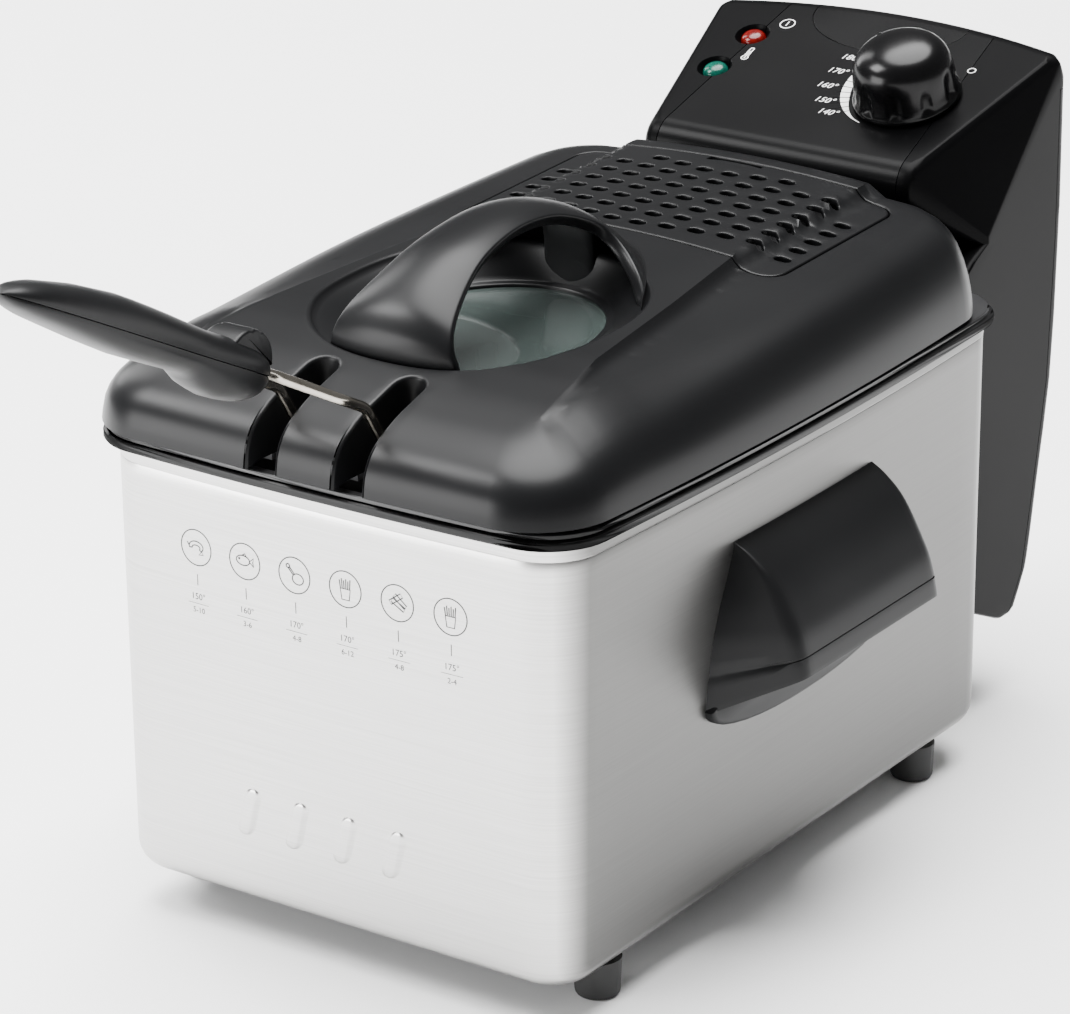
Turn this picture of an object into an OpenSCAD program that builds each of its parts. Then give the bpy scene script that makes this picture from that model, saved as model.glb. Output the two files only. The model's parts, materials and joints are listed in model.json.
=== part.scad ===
// Counter-top deep fryer with a lift-off lid, a lift-out basket and a removable control unit.
// Frame: origin on the table, under the middle of the steel casing. +X right, +Y rear, +Z up.

/* [Casing] */
// Width of the steel casing at its foot
body_w = 215; // [205:1:222]
// Depth of the steel casing
body_d = 317; // [310:1:322]
// Height of the steel's top edge above the table
body_top = 197; // [194:1:199]
// Height of the feet
foot_h = 16; // [14:1:18]
// Thickness of the steel
steel_t = 1.0; // [0.8:0.1:1.2]
// Radius of the casing's upright corners
corner_r = 20; // [16:1:22]
// Radius of the casing's bottom edge
edge_r = 11; // [9:1:13]
// How far the long sides bow out at the top
side_bow = 5.4; // [4:0.1:6]
// How far the front bows out at the top
front_bow = 3.5; // [2:0.1:4]

/* [Side handles] */
// Reach of a side handle beyond the middle plane
handle_reach = 144; // [140:1:148]
// Half length of a side handle along its outer edge
handle_half = 51; // [46:1:54]

/* [Oil pan] */
// Half width of the pan at its mouth
pan_a = 96.5; // [94:0.5:98]
// Half depth of the pan at its mouth
pan_b = 147; // [145:0.5:148]
// Height of the pan's floor
pan_floor = 40; // [36:1:42]

/* [Basket] */
// Half width of the basket
basket_a = 76; // [70:1:80]
// Front of the basket
basket_front = -131; // [-132:1:-128]
// Rear of the basket
basket_rear = 116; // [110:1:118]
// Height of the basket's floor
basket_floor = 61; // [60:1:66]
// Height of the basket's rim wire
basket_top = 186; // [180:1:188]
// Radius of the handle's chrome wires
wire_r = 2.2; // [2:0.1:2.4]
// Length of the grip
grip_len = 153; // [145:1:155]

/* [Lid] */
// Half width of the lid at its corners, before it bows out
lid_a = 112; // [110:0.5:113]
// Front of the lid
lid_front = -169; // [-171:0.5:-167]
// Rear of the lid
lid_rear = 148; // [146:0.5:149]
// Thickness of the lid's wall
lid_t = 2.5; // [2:0.1:3]
// Width of the slots for the basket handle's wires
slot_w = 12.5; // [11:0.5:13]
// Half distance between the two slots
slot_x = 20; // [18:1:22]

/* [Control unit] */
// Half width of the tower
tower_a = 85; // [82:1:88]
// Front face of the tower
tower_front = 164.5; // [164:0.5:166]
// Tilt of the control panel
panel_tilt = 19.5; // [17:0.5:21]
// Thickness of the plastic wall
shell_t = 2.5; // [2:0.1:3]
// Place of the knob across the panel
knob_x = 36.7; // [33:0.1:38]
// Place of the knob up the panel
knob_u = 39.9; // [38:0.1:42]

/* [Hidden] */

black = "#1b1b1d";
soft_black = "#29292b";
steel = "#c9c9c7";
chrome = "#e2e2e0";
dark_steel = "#8c8c8a";
zinc = "#a9abad";
rubber = "#2a2a2a";
smoke = "#3c4643";

half_w = body_w / 2;
half_d = body_d / 2;
collar_top = body_top + 4;
flange_top = collar_top + 2;
skirt_z = flange_top + 2;
foot_x = half_w - 13.5;
foot_y = half_d - 40.5;
foot_r = 9.5;
screw_r = 2.0;
play = 0.1;
slice = 0.01;

// ---------------------------------------------------------------- outlines and lofts

function arc(cx, cy, r, from, to, n) = [for (i = [0:n])
    let (t = from + (to - from) * i / n) [cx + r * cos(t), cy + r * sin(t)]];
function between(p, q, n) = [for (i = [1:n - 1]) p + (q - p) * i / n];

// Rounded rectangle of half sizes a and b, with extra points along its sides
function rounded(a, b, r, n = 5) = let (x = a - r, y = b - r) concat(
    arc(x, y, r, 0, 90, n), between([x, b], [-x, b], 4),
    arc(-x, y, r, 90, 180, n), between([-a, y], [-a, -y], 8),
    arc(-x, -y, r, 180, 270, n), between([-x, -b], [x, -b], 6),
    arc(x, -y, r, 270, 360, n), between([a, -y], [a, y], 8));

// The same outline with its long sides bowed out by bx and its front by by
function bowed(a, b, r, bx, by) = [for (p = rounded(a, b, r)) [
    p.x + sign(p.x) * bx * (1 - pow(p.y / b, 2)),
    p.y - (p.y < 0 ? by * (1 - pow(p.x / a, 2)) : 0)]];

function superellipse(a, b, power, n) = [for (i = [0:n - 1])
    let (t = 360 * i / n, c = cos(t), s = sin(t))
    [a * sign(c) * pow(abs(c), 2 / power), b * sign(s) * pow(abs(s), 2 / power)]];

// Convex solid through flat outlines, each given as [height, outline]
module loft(levels) hull() for (l = levels) translate([0, 0, l[0]]) linear_extrude(slice) polygon(l[1]);

module mirrored() {
    children();
    mirror([1, 0, 0]) children();
}

module at_feet() for (sx = [-1, 1], sy = [-1, 1]) translate([sx * foot_x, sy * foot_y, 0]) children();

// Cylinder from point p to point q
module rod(p, q, r) {
    v = q - p;
    len = norm(v);
    translate(p) rotate([0, acos(v.z / len), atan2(v.y, v.x)]) cylinder(h = len, r = r, $fn = 32);
}

// Bent part of a round bar: starts at c + bend * u and turns toward v
module elbow(c, u, v, bend, r, turn = 90) {
    w = cross(u, v);
    multmatrix([[u.x, v.x, w.x, c.x], [u.y, v.y, w.y, c.y], [u.z, v.z, w.z, c.z], [0, 0, 0, 1]])
        rotate_extrude(angle = turn, $fn = 48) translate([bend, 0]) circle(r = r, $fn = 32);
}

function unit(v) = v / norm(v);

// The same run of points with each corner rounded, starting t before it
function eased(p, t) = concat([p[0]], [for (i = [1:len(p) - 2], k = [0:4])
    let (s = k / 4, a = p[i] + t * unit(p[i - 1] - p[i]), b = p[i] + t * unit(p[i + 1] - p[i]))
    (1 - s) * (1 - s) * a + 2 * s * (1 - s) * p[i] + s * s * b], [p[len(p) - 1]]);

function tangents(p) = let (last = len(p) - 1) [for (i = [0:last]) i == 0 ? unit(p[1] - p[0]) :
    i == last ? unit(p[last] - p[last - 1]) : unit(unit(p[i] - p[i - 1]) + unit(p[i + 1] - p[i]))];

// Bent wire of radius r through points p, swept from a start direction n0 across it
module wire(p, r, n0, sides = 12) {
    t = tangents(p);
    last = len(p) - 1;
    n = [for (i = 0, v = unit(n0 - t[0] * (n0 * t[0])); i <= last;
        i = i + 1, v = i <= last ? unit(v - t[i] * (v * t[i])) : v) v];
    polyhedron(
        points = [for (i = [0:last], k = [0:sides - 1]) let (a = 360 * k / sides)
            p[i] + r * (cos(a) * n[i] + sin(a) * cross(t[i], n[i]))],
        faces = concat([[for (k = [0:sides - 1]) k]],
            [for (i = [0:last - 1], k = [0:sides - 1]) let (a = i * sides, m = (k + 1) % sides)
                [a + k, a + sides + k, a + sides + m, a + m]],
            [[for (k = [sides - 1:-1:0]) last * sides + k]]));
}

// Screw with a pan head, standing on its point at the origin, head up
module screw(len, r = screw_r) {
    cylinder(h = len, r = r, $fn = 32);
    translate([0, 0, len]) cylinder(h = 1.8 * r / 2, r = 1.8 * r, $fn = 32);
}

// ---------------------------------------------------------------- casing

function tub_levels(base, top, i) = [
    [base, rounded(half_w - edge_r, half_d - edge_r, corner_r - edge_r)],
    [base + 0.13 * (edge_r - i), rounded(half_w - i - 0.5 * (edge_r - i),
        half_d - i - 0.5 * (edge_r - i), corner_r - 6)],
    [base + 0.5 * (edge_r - i), rounded(half_w - i - 0.13 * (edge_r - i),
        half_d - i - 0.13 * (edge_r - i), corner_r - 2)],
    [base + edge_r - i, rounded(half_w - i, half_d - i, corner_r - i)],
    [top, bowed(half_w - i, half_d - i, corner_r - i, side_bow, front_bow)]];

module casing_outer() loft(tub_levels(foot_h, body_top - slice, 0));

module casing() color(steel) difference() {
    casing_outer();
    loft(tub_levels(foot_h + steel_t, body_top, steel_t));
    translate([0, 0, foot_h - 1]) linear_extrude(3) polygon(rounded(70, 118, 14));
    at_feet() translate([0, 0, foot_h - 1]) cylinder(h = 4, r = screw_r + play, $fn = 32);
    mirrored() handle_screw_places() cylinder(h = 16, r = screw_r + play, center = true, $fn = 32);
    rail_rivet_places() cylinder(h = 12, r = 1.6 + play, center = true, $fn = 32);
}

module top_collar() color(black) {
    translate([0, -1.8, body_top]) linear_extrude(collar_top - body_top) difference() {
        polygon(bowed(half_w + 5, half_d + 3.7, corner_r + 4, side_bow, front_bow));
        translate([0, 1.8]) polygon(rounded(pan_a + 4, pan_b + 4, 30));
    }
    translate([0, 0, body_top - 11]) linear_extrude(11) difference() {
        polygon(rounded(half_w - 2, half_d - 2, corner_r - 2));
        polygon(rounded(half_w - 4.5, half_d - 4.5, corner_r - 4));
    }
}

module base_plate() color(soft_black) difference() {
    union() {
        translate([0, 0, foot_h + steel_t + 0.3]) linear_extrude(3)
            polygon(rounded(half_w - 12, half_d - 15, 12));
        at_feet() translate([0, 0, foot_h + steel_t + 3]) cylinder(h = 10, r = 3.6, $fn = 32);
    }
    at_feet() translate([0, 0, foot_h]) cylinder(h = 12, r = screw_r + play / 2, $fn = 32);
    for (y = [-80:20:80]) translate([0, y, foot_h]) cube([90, 6, 12], center = true);
}

module feet() color(rubber) at_feet() rotate_extrude($fn = 48) polygon(concat(
    [[screw_r + play, foot_h], [screw_r + play, 7], [4.6, 7], [4.6, 0]],
    arc(foot_r - 3, 2.4, 2.4, 270, 360, 4),
    [[foot_r, foot_h]]));

module foot_screws() color(zinc) at_feet() translate([0, 0, foot_h + 9]) mirror([0, 0, 1])
    screw(foot_h + 2);

// ---------------------------------------------------------------- side handles

handle_top = 166;
handle_low = 117.5;
handle_wall = half_w - 1;

// Cross-section of the hood, in x and z, pulled in by g
function hood_section(g) = concat(
    [[handle_wall, 98 - g], [handle_wall, handle_top - g]],
    [for (t = [80:-10:0]) [handle_wall + 3 + (handle_reach - handle_wall - 3 - g) * cos(t),
        handle_low + (handle_top - handle_low - g) * sin(t)]],
    [[handle_reach - g, handle_low - g]]);

module hood(g) hull() {
    translate([0, handle_half - g, 0]) rotate([90, 0, 0]) linear_extrude(2 * (handle_half - g))
        polygon(hood_section(g));
    translate([handle_wall, 0, 0]) rotate([90, 0, 90]) linear_extrude(1) polygon([
        [-(handle_half - g), handle_top - g], [-(59 - g), 142], [-(66 - g), 115], [-(68 - g), 101 - g],
        [68 - g, 101 - g], [66 - g, 115], [59 - g, 142], [handle_half - g, handle_top - g]]);
}

module handle_backplate() translate([half_w, 0, 0]) rotate([90, 0, 90]) linear_extrude(6.5)
    polygon(concat(
    [[-60, 140], [-66, 114]], [for (y = [-66:11:66]) [y, 87 + 15 * pow(y / 67, 2)]],
        [[66, 114], [60, 140]]));

module handle_screw_places() for (y = [-34, 34]) translate([half_w + 3, y, 148]) rotate([0, 90, 0])
    children();

module side_handle() color(black) difference() {
    union() {
        difference() {
            hood(0);
            translate([0, 0, -0.6]) hood(3.2);
        }
        intersection() {
            hood(0);
            translate([half_w, -72, 104]) cube([7, 144, 70]);
        }
        handle_backplate();
        handle_screw_places() cylinder(h = 14, r = 4.5, $fn = 32);
    }
    casing_outer();
    handle_screw_places() cylinder(h = 22, r = screw_r + play, center = true, $fn = 32);
}

module side_handle_right() side_handle();
module side_handle_left() mirror([1, 0, 0]) side_handle();

module handle_screws() color(zinc) mirrored() handle_screw_places() translate([0, 0, 10])
    mirror([0, 0, 1]) screw(10.5);

// ---------------------------------------------------------------- rail that carries the control unit

rail_x = 30;

module rail_rivet_places() for (x = [-12, 12], z = [130, 172]) translate([x, half_d, z])
    rotate([90, 0, 0]) children();

module rear_rail() color(dark_steel) difference() {
    union() {
        translate([-42, half_d, 118]) cube([84, 1.5, 66]);
        mirrored() {
            translate([rail_x - 2.5, half_d + 1.4, 122]) cube([5, 10.6, 50]);
            translate([rail_x - 7, half_d + 10, 122]) cube([14, 2, 50]);
        }
    }
    rail_rivet_places() cylinder(h = 12, r = 1.6 + play, center = true, $fn = 32);
}

module rail_rivets() color(zinc) rail_rivet_places() translate([0, 0, -1.5]) {
    cylinder(h = 3, r = 1.6, $fn = 32);
    translate([0, 0, -1]) cylinder(h = 1, r = 3, $fn = 32);
}

// ---------------------------------------------------------------- oil pan

function pan_levels(i) = [
    [pan_floor + i, rounded(pan_a - 18, pan_b - 18, 14)],
    [pan_floor + i + 1.9, rounded(pan_a - 11 - i, pan_b - 11 - i, 21)],
    [pan_floor + 7 + i / 2, rounded(pan_a - 5.9 - i, pan_b - 5.9 - i, 26)],
    [pan_floor + 14, rounded(pan_a - 4 - i, pan_b - 4 - i, 28)],
    [collar_top + (i > 0 ? 2.5 : -0.5), rounded(pan_a - i, pan_b - i, 30)]];

module oil_pan() color("#202124") difference() {
    union() {
        loft(pan_levels(0));
        translate([0, -1.8, collar_top]) linear_extrude(flange_top - collar_top)
            polygon(bowed(half_w + 3.5, half_d + 2.2, corner_r + 3, side_bow, front_bow));
        translate([0, 0, collar_top - 1]) linear_extrude(2) polygon(rounded(pan_a, pan_b, 30));
    }
    loft(pan_levels(1.2));
}

// ---------------------------------------------------------------- control unit housing

panel_y = 164.5;
panel_z = 252.3;
nose_r = 12;
nose_y = 167;
nose_z = 240.5;
nose_a = 66;
top_u = 82;
top_a = 82.5;
crown = 10;

// From the panel's own plane, x across and y up the slope, to the frame
module on_panel() translate([0, panel_y, panel_z]) rotate([panel_tilt, 0, 0]) children();

// Plan of the tower: flat front at y = f, crowned rear that meets the sides at y = r
function tower_plan(a, f, r, c = crown) = concat([[-a, f], [a, f]],
    [for (i = [6:-1:-6]) [a * i / 6, r + c * (1 - pow(i / 6, 2))]]);

// Rear edge of the tower's side at height z
module tower_solid(g) hull() {
    for (l = [[36, 214, 222], [58, tower_front, 234], [91, tower_front, 241], [137, tower_front, 250],
              [200, tower_front, 253.5], [215, 186, 254]])
        translate([0, 0, l[0] + (l[0] < 91 ? g : 0)]) linear_extrude(slice)
            polygon(tower_plan(tower_a - g, l[1] + g, l[2] - g));
}

module head_solid(g) hull() {
    translate([0, 0, 214 - g]) linear_extrude(slice) polygon(tower_plan(tower_a - g, 186 + g, 254 - g));
    translate([0, 0, 268]) linear_extrude(slice) polygon(tower_plan(tower_a - g, 250, 254 - g));
    translate([-(nose_a - g), nose_y, nose_z]) rotate([0, 90, 0])
        cylinder(h = 2 * (nose_a - g), r = nose_r - g, $fn = 32);
    on_panel() translate([0, 0, -slice - g]) linear_extrude(slice)
        polygon(concat([[-nose_a + g, 8], [nose_a - g, 8]],
        [for (i = [6:-1:-6]) [(top_a - g) * i / 6, top_u - g + 10 * (1 - pow(i / 6, 2))]]));
}

module unit_shell() difference() {
    union() {
        tower_solid(0);
        head_solid(0);
    }
    tower_solid(shell_t);
    head_solid(shell_t);
}

// Wedge between the two seams of the control panel, in plan
module seam_wedge(g) translate([0, 0, 230]) linear_extrude(80) polygon([
    [-59.5 - g, 150], [59.5 + g, 150], [49 + g, 247], [-49 - g, 247]]);

module rear_region(g) translate([-100, 0, 0]) rotate([90, 0, 90]) linear_extrude(200) polygon([
    [216 + g, 20], [227 + g, 58], [234 + g, 91], [243 + g, 137], [247 + g, 200], [247 + g, 264],
        [270, 264], [270, 20]]);

lamps = [[-55, 64.6], [-58.5, 38.1]];
badge_u = 91;

module lamp_wells() for (l = lamps) on_panel() translate([l.x, l.y, 0]) {
    translate([0, 0, -3]) cylinder(h = 3.2, r1 = 5.3, r2 = 8, $fn = 48);
    translate([0, 0, -8]) cylinder(h = 6, r = 5.2, $fn = 48);
}

module badge_shape(g) intersection() {
    translate([0, badge_u]) polygon(superellipse(37 - g, 24 - g, 2, 48));
    translate([-40, 60]) square([80, 27 - g]);
}

gland_x = 45;
gland_z = 78;
reset_x = -40;
reset_z = 186;

rear_screws = [[120, 249.1], [190, 254.3], [245, 255.3]];

module rear_screw_places() for (x = [-70, 70], s = rear_screws)
    translate([x, s[1], s[0]]) rotate([90, 0, 0]) children();

module control_housing() color(black) difference() {
    unit_shell();
    seam_wedge(0.1);
    rear_region(-0.1);
    lamp_wells();
    mirrored() translate([rail_x - 3.5, tower_front - 5, 20]) cube([7, 10, 152 + play]);
    translate([-3, tower_front - 5, 188]) cube([6, 10, 5]);
    mirrored() translate([rail_x - 7.4, 167.8, 30]) cube([14.8, 3.4, 32]);
    translate([-50 - play, tower_front - 10, 206 - play]) cube([100 + 2 * play, 34, 20 + 2 * play]);
}

module rear_cover() color(black) difference() {
    intersection() {
        unit_shell();
        rear_region(0.1);
    }
    translate([gland_x, 200, gland_z]) rotate([-90, 0, 0]) cylinder(h = 80, r = 8.5 + play, $fn = 48);
    translate([reset_x, 200, reset_z]) rotate([-90, 0, 0]) cylinder(h = 80, r = 5.3, $fn = 48);
    rear_screw_places() cylinder(h = 30, r = screw_r + play, $fn = 32);
    rear_screw_places() translate([0, 0, -8]) cylinder(h = 8, r = 1.8 * screw_r + 0.3, $fn = 32);
}

module control_panel() color(soft_black) difference() {
    intersection() {
        unit_shell();
        seam_wedge(0);
    }
    rear_region(-0.1);
    lamp_wells();
    on_panel() translate([knob_x, knob_u, -10]) cylinder(h = 12, r = 5.2, $fn = 48);
    on_panel() translate([0, 0, -1.1]) linear_extrude(3) badge_shape(0);
}

module panel_badge() color("#121214") on_panel() translate([0, 0, -1.1]) linear_extrude(1.2)
    badge_shape(0.15);

// Sleeve that carries the element's feed over the pan's rim
module neck_cover() color(black) difference() {
    translate([-50, 129, 206]) cube([100, 63, 20]);
    translate([-47.5, 131.5, 208.5]) cube([95, 70, 15]);
    translate([-47.5, 131.5, 204]) cube([95, 10, 8]);
    mirrored() translate([35.6, 128.5, 203]) cube([8.8, 3.1, 18]);
}

// ---------------------------------------------------------------- heating element and controls

module element_bracket() color(dark_steel) difference() {
    union() {
        translate([-46, 139.3, 62]) cube([92, 1.2, 152.2]);
        translate([-46, 139.3, 213]) cube([92, 50, 1.2]);
    }
    for (x = [-60:20:60]) translate([x / 2, 138, 90]) cube([4, 4, 70]);
}

element_r = 4;
element_y = 133;
element_z = basket_floor - 3 - play - element_r;

// One half of the element: feed, outer run, front bend and inner run
module element_half() {
    z = element_z;
    rod([40, element_y, z + 12], [40, element_y, 211], element_r);
    elbow([40, element_y - 12, z + 12], [0, 1, 0], [0, 0, -1], 12, element_r);
    rod([40, element_y - 12, z], [40, 110, z], element_r);
    elbow([54, 110, z], [-1, 0, 0], [0, -1, 0], 14, element_r);
    rod([54, 96, z], [60, 96, z], element_r);
    elbow([60, 82, z], [0, 1, 0], [1, 0, 0], 14, element_r);
    rod([74, 82, z], [74, -90, z], element_r);
    elbow([54, -90, z], [1, 0, 0], [0, -1, 0], 20, element_r, 180);
    rod([34, -90, z], [34, 50, z], element_r);
}

module heating_element() color("#6d6b68") {
    mirrored() element_half();
    elbow([0, 50, element_z], [1, 0, 0], [0, 1, 0], 34, element_r, 180);
}

module element_clips() color(dark_steel) for (sx = [-1, 1], z = [100, 170])
    translate([sx * 40, 0, z]) difference() {
        translate([-6.5, 127, 0]) cube([13, 12.3, 8]);
        translate([0, element_y, -1]) cylinder(h = 10, r = element_r, $fn = 48);
    }

module thermostat() color(zinc) difference() {
    on_panel() translate([knob_x, knob_u, 0]) {
        translate([0, 0, -24]) cylinder(h = 20, r = 15, $fn = 48);
        translate([0, 0, -5]) cylinder(h = 6, r = 5, $fn = 48);
    }
    on_panel() translate([knob_x, knob_u, -16]) cylinder(h = 20, r = 3.05, $fn = 48);
}

module capillary_tube() color("#b87333") wire(eased([[30, 208, 239], [30, 208, 219], [10, 180, 219],
    [10, 135.5, 219], [10, 135.5, 66], [0, 124, element_z], [0, 112.2, element_z]], 5), 1.2, [0, 1, 0],
        8);

module sensor_bulb() color(zinc) translate([0, 112, element_z]) rotate([90, 0, 0])
    cylinder(h = 21, r = 3.5, $fn = 32);

module thermal_cutout() color("#d8d2c2") translate([reset_x, 219.5, reset_z]) rotate([90, 0, 0]) {
    cylinder(h = 12, r = 9, $fn = 48);
    translate([0, 0, -2]) cylinder(h = 3, r = 4, $fn = 32);
}

module safety_switch() color("#303033") {
    translate([-10, 168.2, 184]) cube([20, 12, 14]);
    translate([-2, 161.5, 189]) cube([4, 7.4, 3]);
}

module terminal_block() color("#e6e1d3") difference() {
    translate([-24, 196, 84]) cube([48, 16, 20]);
    for (x = [-16:16:16]) translate([x, 204, 90]) cylinder(h = 20, r = 3, $fn = 32);
}

module internal_wires() color("#9a3b2e") for (x = [-16, 0, 16])
    wire(eased([[x, 204, 90.5], [x, 204, 130], [x * 1.6, 208, 168], [x * 1.6, 208, 200]], 8), 1.3,
        [0, 1, 0], 8);

module lamp_holders() color("#d9d6cc") for (l = lamps) on_panel() translate([l.x, l.y, -20])
    difference() {
    cylinder(h = 14, r = 6, $fn = 32);
    translate([0, 0, 6]) cylinder(h = 10, r = 4.7, $fn = 32);
}

module lens(place, tint) color(tint) on_panel() translate([place.x, place.y, 0]) rotate_extrude($fn = 48)
    polygon([[0, -13], [4.5, -13], [4.5, -3.4], [5, -3.2], [4.9, -2], [4, -1], [2.3, -0.4], [0, -0.2]]);

module red_lens() lens(lamps[0], "#b3201c");
module green_lens() lens(lamps[1], "#0b8f6a");

module cord_gland() color(rubber) translate([gland_x, 236, gland_z]) rotate([-90, 0, 0]) difference() {
    cylinder(h = 16, r = 8.5, $fn = 48);
    translate([0, 0, -1]) cylinder(h = 18, r = 3.7, $fn = 48);
}

module housing_screws() color(zinc) rear_screw_places() translate([0, 0, 12]) mirror([0, 0, 1]) screw(12);

module knob() color(black) on_panel() translate([knob_x, knob_u, 1.2]) difference() {
    rotate_extrude($fn = 96) polygon(concat(
        [[0, 0], [22.8, 0], [23.4, 0.8], [23.2, 2.4]],
            [for (t = [0:9:90]) [12.5 + 8.6 * cos(t) * (1 - t / 900), 14.5 + 8.6 * sin(t)]],
        [[0, 24]]));
    for (i = [0:9]) rotate([0, 0, 36 * i + 10]) translate([25.5, 0, -1]) rotate([0, -12, 0])
        cylinder(h = 26, r = 3.4, $fn = 32);
    translate([0, 0, -1]) cylinder(h = 13, r = 3.05, $fn = 48);
}

module knob_shaft() color(zinc) on_panel() translate([knob_x, knob_u, -15.5])
    cylinder(h = 28, r = 3, $fn = 48);

module reset_button() color("#7c1512") translate([reset_x, 225.5, reset_z]) rotate([-90, 0, 0]) {
    cylinder(h = 37.5, r = 4.9, $fn = 48);
    cylinder(h = 3, r = 7, $fn = 48);
}

// ---------------------------------------------------------------- basket

grid_t = 2;
mesh = 14.2;

// Flat grid of square openings that fills a w by h frame
module grid(w, h) linear_extrude(grid_t) difference() {
    square([w, h]);
    nx = floor((w - grid_t) / mesh);
    ny = floor((h - grid_t) / mesh);
    px = (w - grid_t) / nx;
    py = (h - grid_t) / ny;
    for (i = [0:nx - 1], j = [0:ny - 1]) translate([grid_t + i * px, grid_t + j * py])
        square([px - grid_t, py - grid_t]);
}

rim_r = 2.4;
basket_len = basket_rear - basket_front;
basket_h = basket_top - rim_r - basket_floor;

module basket_sides() color(chrome) mirrored() translate([basket_a, basket_front, basket_floor])
    rotate([90, 0, 90]) grid(basket_len, basket_h);

module basket_ends() color(chrome) for (y = [basket_front + grid_t, basket_rear])
    translate([-basket_a, y, basket_floor + 2]) rotate([90, 0, 0]) grid(2 * basket_a, basket_h - 2);

module basket_floor_grid() color(chrome) translate([-basket_a, basket_front, basket_floor])
    grid(2 * basket_a, basket_len);

// Closed loop of round wire with bent corners
module wire_loop(a, front, rear, z, r, bend) {
    mirrored() {
        rod([a, front + bend, z], [a, rear - bend, z], r);
        elbow([a - bend, rear - bend, z], [1, 0, 0], [0, 1, 0], bend, r);
        elbow([a - bend, front + bend, z], [0, -1, 0], [1, 0, 0], bend, r);
    }
    rod([-(a - bend), front, z], [a - bend, front, z], r);
    rod([-(a - bend), rear, z], [a - bend, rear, z], r);
}

module basket_rim() color(chrome) wire_loop(basket_a + 1, basket_front + 1, basket_rear + 1,
    basket_top, rim_r, 10);

module basket_base_frame() color(chrome) wire_loop(basket_a - 5, basket_front + 6, basket_rear - 6,
    basket_floor - 1.5, 1.5, 10);

pivot_y = -138;
pivot_z = 190;

module handle_bracket() color(chrome) difference() {
    union() {
        translate([-26, basket_front - 1.5, 140]) cube([52, 1.4, 43.5]);
        translate([-26, basket_front - 3.6, 182]) cube([52, 1.4, 17]);
        translate([-26, basket_front - 3.6, 180.5]) cube([52, 3.5, 1.6]);
        mirrored() translate([10, pivot_y - 5, 183]) cube([4, 9, 14]);
    }
    translate([-30, pivot_y, pivot_z]) rotate([0, 90, 0]) cylinder(h = 60, r = wire_r + 0.07, $fn = 48);
}

// ---------------------------------------------------------------- basket handle

grip_y = -195;
grip_z = 255;
grip_tilt = 27.2;
knee_y = -158;
knee_z = 235;

// Frame of the grip: x along it toward the tip, y up from it, z across it
module on_grip() translate([0, grip_y, grip_z]) rotate([0, 0, -90]) rotate([90, 0, 0])
    rotate([0, 0, grip_tilt]) children();

function grip_point(s, n) = [grip_y - s * cos(grip_tilt) + n * sin(grip_tilt),
    grip_z + s * sin(grip_tilt) + n * cos(grip_tilt)];

module handle_wires() color(chrome) for (sx = [-1, 1]) {
    at_grip = grip_point(-3, sx * 1.2);
    in_grip = grip_point(34, sx * 1.2);
    wire(eased([[sx * 8.5, pivot_y, pivot_z], [sx * slot_x, pivot_y, pivot_z],
        [sx * slot_x, pivot_y - 2.5, pivot_z + 17],
        [sx * slot_x, knee_y, knee_z], [sx * slot_x, knee_y - 14, knee_z + 7.4],
        [sx * 5.5, at_grip.x, at_grip.y], [sx * 5.5, in_grip.x, in_grip.y]], 2.8), wire_r, [0, 0, 1]);
}

// Side outlines of the grip above and below its parting line
function grip_top() = concat([[0, 0]], arc(9, 0, 9, 180, 100, 4),
    [[40, 9.4], [62, 11], [94, 12], [117, 10.8], [138, 7.9]],
    arc(grip_len - 7, 0, 7, 60, 0, 4));
function grip_low() = concat([[0, 0], [grip_len, 0]], arc(grip_len - 7, 1, 5, -20, -80, 3),
    [[126, -6], [105, -7.6], [85, -8.6], [62, -8.2], [48.5, -7.6]], arc(26, 4, 17.6, -45, -165, 8));

// Plan outline of the grip, wide at the palm
module grip_plan() rotate([90, 0, 0]) translate([0, 0, -30]) linear_extrude(60) polygon(concat(
    arc(12, 0, 12, 90, 270, 8), [[50, -12.5], [95, -13.5], [135, -12]],
        arc(grip_len - 10, 0, 10, -80, 80, 8), [[135, 12], [95, 13.5], [50, 12.5]]));

module wire_channels() for (sx = [-1, 1]) translate([-5, sx * 1.2, -sx * 5.5]) rotate([0, 90, 0])
    cylinder(h = 39.5, r = wire_r + 0.05, $fn = 32);

module grip_screw_places() for (s = [24, 124]) translate([s, 0, 0]) rotate([90, 0, 0]) children();

module button_pocket() translate([2.5, 4.2, -7]) cube([34, 20, 14]);

module grip_upper() color(black) on_grip() difference() {
    intersection() {
        translate([0, 0, -15]) linear_extrude(30) polygon(grip_top());
        grip_plan();
    }
    wire_channels();
    button_pocket();
    grip_screw_places() cylinder(h = 12, r = 1.5, center = true, $fn = 32);
}

module grip_lower() color(black) on_grip() difference() {
    intersection() {
        translate([0, 0, -15]) linear_extrude(30) polygon(grip_low());
        grip_plan();
    }
    wire_channels();
    grip_screw_places() {
        translate([0, 0, -1]) cylinder(h = 30, r = 1.6, $fn = 32);
        translate([0, 0, 4.5]) cylinder(h = 30, r = 3.2, $fn = 32);
    }
}

module grip_screws() color(zinc) on_grip() grip_screw_places() translate([0, 0, -3.5]) screw(8, 1.5);

module thumb_button() color(black) on_grip() difference() {
    translate([0, 0, -6.8]) linear_extrude(13.6)
        polygon(concat([[3, 4.4]], arc(16.5, 1.5, 13.6, 165, 22, 12), [[29.6, 4.4]]));
    for (t = [70, 92, 114]) translate([16.5, 1.5, 0]) rotate([0, 0, t]) translate([13.8, 0, -10])
        cylinder(h = 20, r = 0.7, $fn = 16);
}

// ---------------------------------------------------------------- lid

lid_len = lid_rear - lid_front;
lid_mid = (lid_rear + lid_front) / 2;
lid_slope = 2.6;
plateau_z = 243.5;
plateau_slope = 2.9;

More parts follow.
